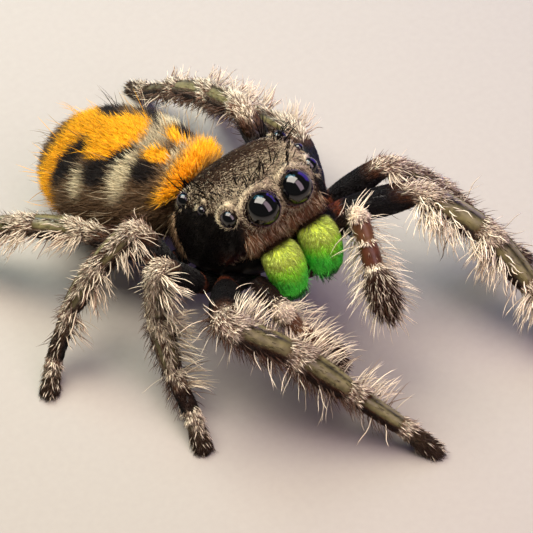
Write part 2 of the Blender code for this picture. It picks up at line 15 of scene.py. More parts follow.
import bpy
import numpy as np
from mathutils import Matrix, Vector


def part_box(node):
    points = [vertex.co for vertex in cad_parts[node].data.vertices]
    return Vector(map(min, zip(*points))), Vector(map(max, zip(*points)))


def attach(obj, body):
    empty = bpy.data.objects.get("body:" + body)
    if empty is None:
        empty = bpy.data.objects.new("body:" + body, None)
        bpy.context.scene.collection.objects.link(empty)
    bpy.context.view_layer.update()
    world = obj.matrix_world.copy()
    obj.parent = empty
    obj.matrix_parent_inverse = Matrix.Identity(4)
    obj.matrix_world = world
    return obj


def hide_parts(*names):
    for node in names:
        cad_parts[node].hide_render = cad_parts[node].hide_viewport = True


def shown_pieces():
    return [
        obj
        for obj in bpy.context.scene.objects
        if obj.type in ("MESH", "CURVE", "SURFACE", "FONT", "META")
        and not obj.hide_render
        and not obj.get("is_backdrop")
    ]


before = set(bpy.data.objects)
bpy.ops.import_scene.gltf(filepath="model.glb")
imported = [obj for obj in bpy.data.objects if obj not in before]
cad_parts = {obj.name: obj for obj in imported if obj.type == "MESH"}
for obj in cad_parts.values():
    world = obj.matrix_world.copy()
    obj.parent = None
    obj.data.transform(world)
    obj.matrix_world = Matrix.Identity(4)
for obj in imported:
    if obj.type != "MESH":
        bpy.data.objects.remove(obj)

Array = np.ndarray
Marks = Sequence[float]
Marker = Callable[[Array, Array, Array], Array]
Density = Callable[[Array, Array, Array], Array]
Tree = bpy.types.NodeTree
Socket = bpy.types.NodeSocket

log = logging.getLogger("jumping_spider")

MM = 0.001
CARAPACE = 5.0 * MM
FLOOR_CLEARANCE = 0.01 * MM
# Depth of the skin inside the solids, in carapace lengths
SKIN_DEPTH = 0.008
# Weight of a bare place, so that weights never add up to nothing
BARE = 1e-9
UPRIGHT = np.array([0.0, 0.0, 1.0])

# Carriage of head and abdomen in degrees, and places in carapace lengths
HEAD_PITCH = 27.0
HEAD_ROLL = 5.0
ABDOMEN_BEND = 24.0
ABDOMEN_PITCH = 13.0
ABDOMEN_CENTRE = (-0.265, 0.395, 0.095)
ABDOMEN_HALF = (0.375, 0.500, 0.325)
WAIST_BACK = 0.95
WAIST_DOWN = 0.35
# Height of the ankle over the floor, as a share of the foot's length
ANKLE_HEIGHT_SHARE = 0.58

# Carapace stations: back, half width, top, bottom, squareness
CARAPACE_STATIONS = (
    (0.034, 0.010, -0.060, -0.070, 2.0),
    (0.036, 0.110, 0.020, -0.135, 2.2),
    (0.050, 0.215, 0.080, -0.198, 2.6),
    (0.075, 0.275, 0.108, -0.212, 2.8),
    (0.120, 0.315, 0.125, -0.240, 3.0),
    (0.200, 0.350, 0.138, -0.300, 3.1),
    (0.320, 0.385, 0.148, -0.320, 3.1),
    (0.450, 0.405, 0.142, -0.330, 3.0),
    (0.550, 0.412, 0.100, -0.335, 2.7),
    (0.660, 0.395, -0.005, -0.340, 2.4),
    (0.750, 0.345, -0.115, -0.340, 2.2),
    (0.840, 0.265, -0.210, -0.345, 2.1),
    (0.910, 0.165, -0.275, -0.350, 2.0),
    (0.925, 0.020, -0.315, -0.330, 2.0),
)
# Level of each station's widest place
CARAPACE_WIDEST_UP = -0.24

# Underside plate: back, half width, up, half height
STERNUM_STATIONS = (
    (0.170, 0.005, -0.440, 0.005),
    (0.180, 0.050, -0.440, 0.040),
    (0.200, 0.085, -0.440, 0.052),
    (0.300, 0.100, -0.440, 0.056),
    (0.480, 0.150, -0.440, 0.060),
    (0.640, 0.140, -0.440, 0.058),
    (0.760, 0.090, -0.440, 0.050),
    (0.800, 0.045, -0.440, 0.036),
    (0.808, 0.005, -0.440, 0.005),
)

# Soft flank between shield and underside plate: back, half width, up, half height
FLANK_STATIONS = (
    (0.120, 0.010, -0.330, 0.010),
    (0.130, 0.120, -0.330, 0.060),
    (0.200, 0.270, -0.345, 0.100),
    (0.320, 0.345, -0.350, 0.105),
    (0.480, 0.370, -0.350, 0.105),
    (0.640, 0.360, -0.350, 0.095),
    (0.760, 0.300, -0.350, 0.085),
    (0.860, 0.180, -0.340, 0.065),
    (0.900, 0.010, -0.335, 0.010),
)

# Mouth parts behind the jaws: sideways, back, up, length down, half width
MOUTH_PARTS = ((0.060, 0.150, -0.400, 0.150, 0.052), (0.0, 0.190, -0.420, 0.085, 0.045))

# Chelicera rings: back, up, half width, half depth
CHELICERA_STATIONS = (
    (0.040, -0.205, 0.010, 0.010),
    (0.035, -0.210, 0.050, 0.040),
    (0.020, -0.225, 0.082, 0.080),
    (0.000, -0.270, 0.100, 0.104),
    (-0.002, -0.350, 0.104, 0.110),
    (0.012, -0.430, 0.096, 0.096),
    (0.030, -0.500, 0.080, 0.078),
    (0.040, -0.540, 0.052, 0.052),
    (0.044, -0.550, 0.008, 0.008),
)
CHELICERA_SIDEWAYS = 0.118

# Where parts of a leg begin, counted in segments from its root, and its end
PATELLA, METATARSUS, TARSUS, TOE = 2, 4, 5, 6

# Legs, by pair: hip place (sideways, back, up), thickness, and lengths of
# femur, patella, tibia, metatarsus and tarsus
LEG_PAIRS = {
    1: ((0.36, 0.26, -0.40), 1.00, (0.47, 0.410, 0.390, 0.335, 0.240)),
    2: ((0.42, 0.42, -0.41), 0.84, (0.39, 0.330, 0.300, 0.270, 0.200)),
    3: ((0.465, 0.58, -0.42), 0.84, (0.41, 0.280, 0.300, 0.290, 0.190)),
    4: ((0.38, 0.80, -0.40), 0.86, (0.49, 0.310, 0.370, 0.360, 0.200)),
}
# Swing from straight ahead and rise of femur, patella and tibia, then the
# swing of metatarsus and tarsus, in degrees
LEG_POSES = {
    ("right", 1): ((-37, 25), (53, -33), (37, -32), 34, 34),
    ("right", 2): ((-98, 48), (-38, -78), (-12, -50), -12, -14),
    ("right", 3): ((-152, 50), (-88, -27), (-92, -52), -62, -45),
    ("right", 4): ((-138, 15), (-138, -4), (-138, -21), -138, -138),
    ("left", 1): ((65, 10), (32, -22), (14, -33), 14, 14),
    ("left", 2): ((68, 34), (60, -36), (50, -48), 44, 42),
    ("left", 3): ((158, 2), (-168, -9), (179, -22), 173, 173),
    ("left", 4): ((-178, 43), (179, -26), (-175, -32), -172, 177),
}
# Radius along each leg segment: place along it, radius
LEG_SHAPES = (
    ((0.0, 0.062), (1.0, 0.064)),
    ((0.0, 0.062), (0.28, 0.084), (0.68, 0.088), (1.0, 0.070)),
    ((0.0, 0.068), (0.35, 0.086), (0.75, 0.084), (1.0, 0.074)),
    ((0.0, 0.074), (0.30, 0.084), (0.70, 0.078), (1.0, 0.064)),
    ((0.0, 0.060), (0.5, 0.058), (1.0, 0.054)),
    ((0.0, 0.054), (0.5, 0.053), (1.0, 0.050)),
)
# How much a limb narrows at each joint between segments
LEG_WAISTS = (0.06, 0.16, 0.10, 0.14, 0.12)
# How far flat hair covers each pair's bare stripes
HAIRED_LEGS = {1: 0.0, 2: 1.0, 3: 0.8, 4: 0.5}
# Least radius of a limb, the skin's depth included
LEG_MINIMUM = 0.25 * MM
# Legs with all their hair. The others have a share of it
FULL_LEGS = (("right", 1), ("left", 1), ("right", 2))

# Palps: hip, lengths, and swing and rise of each segment, from the root
PALP_HIP = (0.252, 0.10, -0.40)
PALP_LENGTHS = (0.25, 0.14, 0.14, 0.26)
PALP_POSES = {
    "left": ((25, 57), (-14, -34), (-15, -36), (-12, -37)),
    "right": ((-8, 8), (42, -54), (52, -55), (58, -56)),
}
PALP_SHAPES = (
    ((0.0, 0.052), (0.5, 0.058), (1.0, 0.054)),
    ((0.0, 0.054), (0.5, 0.062), (1.0, 0.056)),
    ((0.0, 0.056), (0.5, 0.062), (1.0, 0.058)),
    ((0.0, 0.060), (0.4, 0.074), (0.8, 0.064), (1.0, 0.040)),
)
PALP_WAISTS = (0.10, 0.10, 0.10)

# Marks of whole kinds of hair: orange, pale, dark and red
WHITE = (0.0, 1.0, 0.0, 0.0)
CREAM = (0.0, 0.85, 0.0, 0.0)
MARGIN_CREAM = (0.0, 0.55, 0.0, 0.0)
GREY = (0.0, 0.68, 0.0, 0.0)
BLURRED_WHITE = (0.0, 0.66, 0.0, 0.3)
SALMON = (0.45, 0.95, 0.0, 0.0)
DARK_RED = (0.0, 0.10, 0.30, 0.5)
DUSKY = (0.0, 0.14, 0.40, 0.1)
SOOTY = (0.0, 0.10, 0.60, 0.0)
DARK = (0.0, 0.0, 0.55, 0.0)

# Soft lights: name, directions of both ends by the camera's right, up and
# back, width in millimetres, watts and colour
LIGHTS = (
    ("window", (-0.62, 0.74, 0.16), (0.08, 0.68, 0.73), 42.0, 0.069, "#fff6e9"),
    ("window_end", (0.14, 0.64, 0.75), (0.75, -0.25, 0.61), 27.0, 0.019, "#ffdfee"),
    ("sky", (-0.62, 0.76, -0.22), (-0.05, 0.90, 0.25), 22.0, 0.009, "#7ae2ff"),
    ("rim", (0.9, 0.5, -0.25), (0.2, 0.9, -0.40), 30.0, 0.010, "#7a58ff"),
)


class Eye(Enum):
    """The four pairs of eyes: sideways, back, up, radius, degrees turned out."""

    FRONT = (0.105, 0.020, 0.000, 0.093, 0.0)
    SIDE = (0.262, 0.105, 0.012, 0.046, 28.0)
    SMALL = (0.318, 0.270, 0.045, 0.026, 70.0)
    REAR = (0.316, 0.450, 0.058, 0.042, 95.0)


class Side(Enum):
    """The spider's left and right, as the sign of its sideways axis."""

    LEFT = 1.0
    RIGHT = -1.0

    @property
    def word(self) -> str:
        """The side's name as it stands in the names of the solids."""
        return self.name.lower()


def unit(vectors: Array) -> Array:
    """Vectors scaled to length one, along the last axis."""
    return vectors / np.maximum(np.linalg.norm(vectors, axis=-1, keepdims=True), 1e-12)


def heading(swing: float, rise: float) -> Array:
    """Unit vector, by degrees from -Y towards the spider's left and over the floor."""
    swing, rise = math.radians(swing), math.radians(rise)
    return np.array([math.sin(swing) * math.cos(rise), -math.cos(swing) * math.cos(rise), math.sin(rise)])


def fade(value: Array, low: float, high: float) -> Array:
    """Smooth step from 0 at low to 1 at high: 3t² - 2t³ of the share between."""
    share = np.clip((value - low) / (high - low), 0.0, 1.0)
    return share * share * (3.0 - 2.0 * share)


def bump(value: Array, centre: float, width: float) -> Array:
    """Bell curve of height one: e to the minus square of the distance by width."""
    return np.exp(-(((value - centre) / width) ** 2))


def clumps(place: Array, size: float) -> Array:
    """Soft blotches between 0 and 1.

    Five sine waves in unlike directions, each shifted by the sum of those before.

    Args:
        place: places, in metres.
        size: about how large the blotches are, in millimetres.

    Returns:
        The blotches' height at each place.
    """
    at = place / (size * MM)
    value = np.zeros(at.shape[:-1])
    for k in range(5):
        course = np.array([math.cos(1.9 * k + 0.4), math.sin(2.3 * k + 1.1), math.cos(3.1 * k + 2.0)])
        value = value + np.sin(at @ course * (2.4 + 0.9 * k) + 1.3 * value + k)
    return 0.5 + value / 10.0


def patch(x: Array, y: Array, centre: tuple, half: tuple, edge: float = 0.25) -> Array:
    """Oval mark: 1 inside, fading to 0 over a rim given as a share of its half sizes."""
    reach = np.sqrt(((x - centre[0]) / half[0]) ** 2 + ((y - centre[1]) / half[1]) ** 2)
    return 1.0 - fade(reach, 1.0 - edge, 1.0 + edge)


def blur(values: Array, width: float) -> Array:
    """Values smoothed along the first axis: their mean under a bell curve.

    Args:
        values: one row for each step along the axis.
        width: the bell curve's width, in rows.

    Returns:
        The smoothed values, the ends kept by mirroring.
    """
    reach = int(math.ceil(3 * width))
    kernel = np.exp(-0.5 * (np.arange(-reach, reach + 1) / width) ** 2)
    kernel /= kernel.sum()
    flat = values.reshape(len(values), -1)
    ends = np.concatenate([2 * flat[:1] - flat[reach:0:-1], flat, 2 * flat[-1:] - flat[-2:-reach - 2:-1]])
    smooth = sum(k * ends[i : i + len(flat)] for i, k in enumerate(kernel))
    return smooth.reshape(values.shape)


def ring_turns(columns: int) -> tuple[Array, Array]:
    """Turns round a ring in degrees, and the same in radians as one row."""
    turn = np.linspace(-180.0, 180.0, columns, endpoint=False)
    return turn, np.radians(turn)[None]


@dataclass(frozen=True)
class Body:
    """The head's and abdomen's axes and the places reckoned from them."""

    left: Array
    back: Array
    up: Array
    eyes: Array

    @classmethod
    def from_frame(cls) -> "Body":
        """The axes by pitch and roll, and the eyes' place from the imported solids.

        Returns:
            The body's axes and places.
        """
        forward = heading(0.0, HEAD_PITCH)
        level_left = np.array([1.0, 0.0, 0.0])
        level_up = np.cross(forward, level_left)
        roll = math.radians(HEAD_ROLL)
        left = level_left * math.cos(roll) + level_up * math.sin(roll)
        up = level_up * math.cos(roll) - level_left * math.sin(roll)
        boxes = [np.array(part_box(f"eye_front_{side.word}")) for side in Side]
        middle = np.mean(boxes, axis=(0, 1))
        return cls(left, -forward, up, middle + forward * Eye.FRONT.value[1] * CARAPACE)

    def head(self, left: Array | float, back: Array | float, up: Array | float) -> Array:
        """Places from fractions of the carapace's length along the head's axes."""
        left, back, up = (np.asarray(v, float)[..., None] for v in (left, back, up))
        return self.eyes + (self.left * left + self.back * back + self.up * up) * CARAPACE

    def offset(self, place: Array) -> tuple[Array, Array, Array]:
        """How far left, back and up of the eyes a place is, in carapace lengths."""
        offset = (place - self.eyes) / CARAPACE
        return offset @ self.left, offset @ self.back, offset @ self.up

    def eye(self, kind: Eye, side: Side) -> Array:
        """An eye's centre."""
        sideways, back, up = kind.value[:3]
        return self.head(side.value * sideways, back, up)

    @property
    def abdomen(self) -> tuple[Array, Array, Array, Array]:
        """The abdomen's place and axes.

        Returns:
            Its centre, left, back and up.
        """
        forward = heading(ABDOMEN_BEND, ABDOMEN_PITCH)
        bend = math.radians(ABDOMEN_BEND)
        left = np.array([math.cos(bend), math.sin(bend), 0.0])
        waist = self.head(0.0, WAIST_BACK, -WAIST_DOWN)
        centre = waist + np.array(ABDOMEN_CENTRE) * CARAPACE
        return centre, left, -forward, np.cross(forward, left)


BODY = Body.from_frame()


def to_linear(colour: str) -> tuple[float, float, float, float]:
    """Scene-linear RGBA of an sRGB hex colour, by the sRGB curve."""
    channels = [int(colour[i : i + 2], 16) / 255.0 for i in (1, 3, 5)]
    return (*(c / 12.92 if c <= 0.04045 else ((c + 0.055) / 1.055) ** 2.4 for c in channels), 1.0)


# Numbers of the Mix node's sockets that carry colour
MIX_SHARE, MIX_FIRST, MIX_SECOND, MIX_RESULT = 0, 6, 7, 2


def add_node(tree: Tree, kind: str, settings: dict) -> bpy.types.Node:
    """Add a node with its settings and links.

    Args:
        tree: the node tree.
        kind: the node's type, without the words ShaderNode.
        settings: values by property name, or by input name or number. A hex
            word stands for a colour, and an output socket is linked.

    Returns:
        The new node.
    """
    item = tree.nodes.new("ShaderNode" + kind)
    for key, value in settings.items():
        if isinstance(value, Socket):
            tree.links.new(value, item.inputs[key])
        elif isinstance(key, str) and hasattr(item, key):
            setattr(item, key, value)
        else:
            item.inputs[key].default_value = to_linear(value) if isinstance(value, str) else value
    return item


def channels_of(tree: Tree, attribute: str) -> tuple:
    """Sockets of the red, green, blue and alpha of a mesh's attribute."""
    whole = add_node(tree, "Attribute", {"attribute_name": attribute})
    return (*add_node(tree, "SeparateColor", {"Color": whole.outputs[0]}).outputs, whole.outputs["Alpha"])


def layered(tree: Tree, ground: object, layers: Sequence, blend: str = "MIX") -> Socket:
    """Colour of layers laid over a ground one after the other.

    Args:
        tree: the node tree.
        ground: the lowest colour, as a hex word or a socket.
        layers: share and colour of each layer.
        blend: how a layer is laid on.

    Returns:
        The socket of the top colour.
    """
    for share, colour in layers:
        settings = {"data_type": "RGBA", "blend_type": blend}
        settings |= {MIX_SHARE: share, MIX_FIRST: ground, MIX_SECOND: colour}
        ground = add_node(tree, "Mix", settings).outputs[MIX_RESULT]
    return ground


def shaded(tree: Tree, colour: object, level: object) -> Socket:
    """Colour times a level of grey."""
    grey = add_node(tree, "CombineColor", {k: level for k in (0, 1, 2)})
    return layered(tree, colour, ((1.0, grey.outputs[0]),), "MULTIPLY")


@dataclass(frozen=True)
class Finish:
    """A finish of the real spider, by its own words."""

    name: str

    def build(self) -> bpy.types.Material:
        """Make the Blender material, once.

        Returns:
            The material of this name.
        """
        found = bpy.data.materials.get(self.name)
        if found:
            return found
        item = bpy.data.materials.new(self.name)
        item.use_nodes = True
        tree = item.node_tree
        tree.nodes.clear()
        shader = add_node(tree, "BsdfPrincipled", self.sockets(tree))
        add_node(tree, "OutputMaterial", {"Surface": shader.outputs[0]})
        return item

    def sockets(self, tree: Tree) -> dict:
        """What each socket of the shader is set to or fed with."""
        raise NotImplementedError


@dataclass(frozen=True)
class MarkedFinish(Finish):
    """A finish that shows the body's marks over its ground colour."""

    ground: str
    pale: str
    orange: str = "#ff8a12"
    dark: str = "#0d0907"
    red: str = "#6e3620"

    def marked(self, tree: Tree) -> Socket:
        """Red, pale, orange and dark laid over the ground by the marks' channels.

        Args:
            tree: the node tree.

        Returns:
            The colour's socket.
        """
        orange, pale, dark, red = channels_of(tree, "marks")
        layers = ((red, self.red), (pale, self.pale), (orange, self.orange), (dark, self.dark))
        return layered(tree, self.ground, layers)


@dataclass(frozen=True)
class HairFinish(MarkedFinish):
    """Hair: a smooth strand, darker at its root, each of its own tone."""

    roughness: float = 0.55
    gloss: float = 0.26
    tones: tuple[float, float] = (0.62, 1.34)
    heights: tuple[float, float] = (0.62, 1.14)

    def sockets(self, tree: Tree) -> dict:
        """Marks over the ground colour, varied by strand and by height.

        Args:
            tree: the node tree.

        Returns:
            Values by socket.
        """
        tone, rise = channels_of(tree, "strand")[:2]
        levels = {"operation": "MULTIPLY"}
        for index, (source, (low, high)) in enumerate(((tone, self.tones), (rise, self.heights))):
            spread = add_node(tree, "MapRange", {"Value": source, "To Min": low, "To Max": high})
            levels[index] = spread.outputs[0]
        level = add_node(tree, "Math", levels).outputs[0]
        return {
            "Base Color": shaded(tree, self.marked(tree), level),
            "Roughness": self.roughness,
            "Specular IOR Level": self.gloss,
            "IOR": 1.55,
        }


@dataclass(frozen=True)
class CuticleFinish(MarkedFinish):
    """Cuticle: waxy chitin, finely wrinkled, with the hair's marks showing through."""

    roughness: float = 0.34
    sheen: str = "#2a1c3c"
    sheen_weight: float = 0.25
    gloss: float = 0.5
    wrinkle_mm: float = 0.045
    mottle_mm: float = 0.27
    bump_mm: float = 0.006

    def sockets(self, tree: Tree) -> dict:
        """Marks over the ground colour, mottled, with a bump of wrinkles.

        Args:
            tree: the node tree.

        Returns:
            Values by socket.
        """
        place = add_node(tree, "TexCoord", {}).outputs["Object"]
        cloud = {"Vector": place, "Scale": 1.0 / (self.mottle_mm * MM), "Detail": 4.0}
        mottle = add_node(tree, "TexNoise", cloud).outputs[0]
        spread = {"Value": mottle, "From Min": 0.3, "From Max": 0.7, "To Min": 0.65, "To Max": 1.25}
        shade = add_node(tree, "MapRange", spread).outputs[0]
        spread = {"Value": mottle, "To Min": self.roughness - 0.08, "To Max": self.roughness + 0.12}
        rough = add_node(tree, "MapRange", spread).outputs[0]
        cells = {"Vector": place, "Scale": 1.0 / (self.wrinkle_mm * MM), "feature": "SMOOTH_F1"}
        height = add_node(tree, "TexVoronoi", cells).outputs["Distance"]
        relief = {"Height": height, "Strength": 0.5, "Distance": self.bump_mm * MM}
        return {
            "Base Color": shaded(tree, self.marked(tree), shade),
            "Normal": add_node(tree, "Bump", relief).outputs[0],
            "Roughness": rough,
            "Specular IOR Level": self.gloss,
            "IOR": 1.56,
            "Sheen Weight": self.sheen_weight,
            "Sheen Roughness": 0.4,
            "Sheen Tint": self.sheen,
        }


@dataclass(frozen=True)
class LensFinish(Finish):
    """Eye lens: clear cuticle over a black well, with a blue-violet painted sheen where it turns away."""

    well: str = "#010102"
    # Colour of the painted sheen where the lens turns away, and the facing value where that sheen starts
    rim: str = "#2c16bc"
    rim_from: float = 0.45

    def sockets(self, tree: Tree) -> dict:
        """Black base with a violet painted sheen at its edge, polished.

        Args:
            tree: the node tree.

        Returns:
            Values by socket.
        """
        # Painted sheen: the base colour turns violet as the lens turns away from the view
        turn = add_node(tree, "LayerWeight", {"Blend": 0.28}).outputs["Facing"]
        step = {"Value": turn, "From Min": self.rim_from, "From Max": 1.0, "interpolation_type": "SMOOTHSTEP"}
        edge = add_node(tree, "MapRange", step).outputs[0]
        return {
            "Base Color": layered(tree, self.well, ((edge, self.rim),)),
            "Roughness": 0.03,
            "IOR": 1.62,
        }


@dataclass(frozen=True)
class JawFinish(Finish):
    """Iridescent jaw: metallic sheen of fine striae, gold-green to blue-green."""

    top: str = "#c4d84a"
    middle: str = "#9cf426"
    low: str = "#50ff4c"
    # Black of the painted shade at the jaw's lower end
    end: str = "#04200f"
    # Brown of the painted shade over the jaw's upper back, under the moustache
    root: str = "#22160e"
    striae_mm: float = 0.035
    groove_mm: float = 0.008
    metallic: float = 0.12
    tones: tuple[float, float] = (1.0, 1.0)

    def sockets(self, tree: Tree) -> dict:
        """Colours by height down the jaw, with fine grooves along it, painted shade in black at its lower end
        and in brown over its upper back.

        Args:
            tree: the node tree.

        Returns:
            Values by socket.
        """
        # The second channel is the painted shade of the moustache over the jaw's upper back
        drop, root_shade = channels_of(tree, "marks")[:2]
        place = add_node(tree, "TexCoord", {}).outputs["Object"]
        cloud = {"Vector": place, "Scale": 1.0 / (self.striae_mm * MM), "Detail": 3.0}
        grain = add_node(tree, "TexNoise", cloud).outputs[0]
        spread = {"Value": grain, "From Min": 0.25, "From Max": 0.75, "To Min": -0.10, "To Max": 0.10}
        jitter = add_node(tree, "MapRange", spread).outputs[0]
        level = add_node(tree, "Math", {"operation": "ADD", 0: drop, 1: jitter}).outputs[0]
        ramp = add_node(tree, "ValToRGB", {"Fac": level})
        stops = ramp.color_ramp.elements
        stops[0].position, stops[0].color = 0.17, to_linear(self.top)
        stops[1].position, stops[1].color = 1.0, to_linear(self.end)
        for share, colour in ((0.42, self.middle), (0.72, self.low), (0.92, self.low)):
            stops.new(share).color = to_linear(colour)
        tint = layered(tree, ramp.outputs[0], ((root_shade, self.root),))
        low, high = self.tones
        spread = {"Value": channels_of(tree, "strand")[0], "To Min": low, "To Max": high}
        tone = add_node(tree, "MapRange", spread).outputs[0]
        relief = {"Height": grain, "Strength": 0.6, "Distance": self.groove_mm * MM}
        return {
            "Base Color": shaded(tree, tint, tone),
            "Specular Tint": tint,
            "Specular IOR Level": 1.0,
            "IOR": 1.9,
            "Normal": add_node(tree, "Bump", relief).outputs[0],
            "Metallic": self.metallic,
            "Roughness": 0.5,
        }


@dataclass(frozen=True)
class GrainedFinish(Finish):
    """A plain stuff of two close colours, clouded by its own grain."""

    ground: str
    second: str
    grain_mm: float
    roughness: float

    def sockets(self, tree: Tree) -> dict:
        """The second colour over the first, by a cloud of the grain's size.

        Args:
            tree: the node tree.

        Returns:
            Values by socket.
        """
        place = add_node(tree, "TexCoord", {}).outputs["Object"]
        cloud = {"Vector": place, "Scale": 1.0 / (self.grain_mm * MM)}
        grain = add_node(tree, "TexNoise", cloud).outputs[0]
        colour = layered(tree, self.ground, ((grain, self.second),))
        return {"Base Color": colour, "Roughness": self.roughness}


# Hardened cuticle of the shield. To the eye it is near black with a dull wax
# gloss, so that it shows as depth between the hairs.
HEAD_CUTICLE = CuticleFinish(
    "head cuticle", ground="#150c07", pale="#2a1e14", orange="#3a200e", dark="#020000", red="#3a0e05",
    roughness=0.34, gloss=0.16, sheen="#4a1f9a", sheen_weight=0.05,
)
# Thinner cuticle of the legs. It shines more, and its bare stripes are olive
# and slightly wet to the eye.
LEG_CUTICLE = CuticleFinish(
    "leg cuticle", ground="#1c0f08", pale="#6b4a2e", orange="#77704a", red="#6a2812", dark="#030101",
    roughness=0.36, gloss=0.34, sheen="#857d88", sheen_weight=0.12,
)
# Soft unhardened skin. It is matt, and takes the colour of the plush over it.
ABDOMEN_SKIN = CuticleFinish(
    "abdomen skin", ground="#241409", pale="#5e5038", orange="#e88a08", dark="#070505", red="#4a1d10",
    roughness=0.6, gloss=0.3,
)
# Flat scale hair of the shield. Pale and brown hairs stand mixed, which gives
# the eye a grizzled brown.
HEAD_HAIR = HairFinish(
    "head hair", ground="#402311", pale="#faeac4", orange="#e8a464", red="#94603c", dark="#040201",
    gloss=0.12,
)
# Hair of the legs. White and brown strands catch the light one by one.
LEG_HAIR = HairFinish(
    "leg hair", ground="#5a3318", pale="#fff1d4", orange="#777048", red="#8c3d1c", dark="#060302",
)
# Plush of the abdomen. Velvety, with a warm orange that glows at its edges.
ABDOMEN_HAIR = HairFinish(
    "abdomen hair", ground="#50300f", pale="#d3c5a0", orange="#ffb60c", dark="#140903", roughness=0.6,
)
# Stiff smooth bristles. They are dark lines to the eye.
BRISTLE = HairFinish("dark bristles", ground="#0e0806", pale="#0e0806", roughness=0.45, gloss=0.10)
# Polished clear cuticle. It mirrors the lamps over a black well, and a blue-violet sheen is painted on where
# it turns away.
LENS = LensFinish("eye lens")
# Cuticle in thin layers with fine striae. Its green is bright and shimmers. Painted shade darkens it to brown
# over its upper back and to black at its lower end.
JAW = JawFinish("iridescent jaw")
# Hair of the same layered cuticle. Each strand glints in its own green, under the same painted shade as the
# jaw.
JAW_HAIR = JawFinish(
    "iridescent hair", top="#d6ea74", middle="#b4ff50", low="#6cff62", end="#0a4a24", metallic=0.0,
    tones=(0.50, 1.50),
)
# Horn of the claws: hard dark chitin, smooth, redder where it is thin.
CLAW = GrainedFinish("claw horn", ground="#1a0d08", second="#33170c", grain_mm=0.05, roughness=0.25)
# Matt studio paper, pale and even, with fibres a fifth of a millimetre wide.
PAPER = GrainedFinish("studio paper", ground="#a9a49b", second="#a39e95", grain_mm=0.2, roughness=0.85)


def new_mesh(
    name: str,
    points: Array,
    triangles: Array,
    marks: Array,
    strand: Array | None = None,
    bake: Array | None = None,
) -> bpy.types.Mesh:
    """A smooth mesh of triangles, its points held over the floor.

    Args:
        name: the mesh's name.
        points: places, in metres.
        triangles: three point numbers each.
        marks: orange, pale, dark and red at each point.
        strand: tone and rise at each point of hair.
        bake: place on the unwrap at each point.

    Returns:
        The mesh.
    """
    mesh = bpy.data.meshes.new(name)
    points = points.astype(np.float32)
    points[:, 2] = np.maximum(points[:, 2], FLOOR_CLEARANCE)
    mesh.vertices.add(len(points))
    mesh.vertices.foreach_set("co", points.ravel())
    corners = triangles.astype(np.int32).ravel()
    mesh.loops.add(len(corners))
    mesh.loops.foreach_set("vertex_index", corners)
    mesh.polygons.add(len(triangles))
    mesh.polygons.foreach_set("loop_start", np.arange(0, len(corners), 3, dtype=np.int32))
    mesh.update(calc_edges=True)
    mesh.shade_smooth()
    layer = mesh.attributes.new("marks", "FLOAT_COLOR", "POINT")
    layer.data.foreach_set("color", marks.astype(np.float32).ravel())
    if strand is not None:
        layer = mesh.attributes.new("strand", "FLOAT_COLOR", "POINT")
        wide = np.concatenate([strand, np.zeros_like(strand)], axis=1)
        layer.data.foreach_set("color", wide.astype(np.float32).ravel())
    if bake is not None:
        layer = mesh.uv_layers.new(name="OFBake")
        layer.data.foreach_set("uv", bake[corners].astype(np.float32).ravel())
    return mesh


def new_piece(name: str, mesh: bpy.types.Mesh, finishes: Sequence[Finish]) -> bpy.types.Object:
    """Put a mesh in the scene as a piece that rides on the body.

    Args:
        name: the piece's name.
        mesh: its mesh.
        finishes: its materials, in order.

    Returns:
        The piece's object.
    """
    item = bpy.data.objects.new(name, mesh)
    bpy.context.scene.collection.objects.link(item)
    for finish in finishes:
        mesh.materials.append(finish.build())
    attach(item, "root")
    log.info("%s: %d triangles", name, len(mesh.polygons))
    return item


@dataclass
class Roots:
    """Places where hairs grow: whole arrays, one row a hair."""

    place: Array
    out: Array
    along: Array
    reach: Array
    marks: Array
    bake: Array

    def keep(self, mask: Array) -> "Roots":
        """Only the roots that the mask picks."""
        return Roots(*(getattr(self, name)[mask] for name in self.__dataclass_fields__))

    def paint(self, marks: Marks) -> None:
        """Give every root the same marks."""
        self.marks = np.tile(np.array(marks, float), (len(self.place), 1))


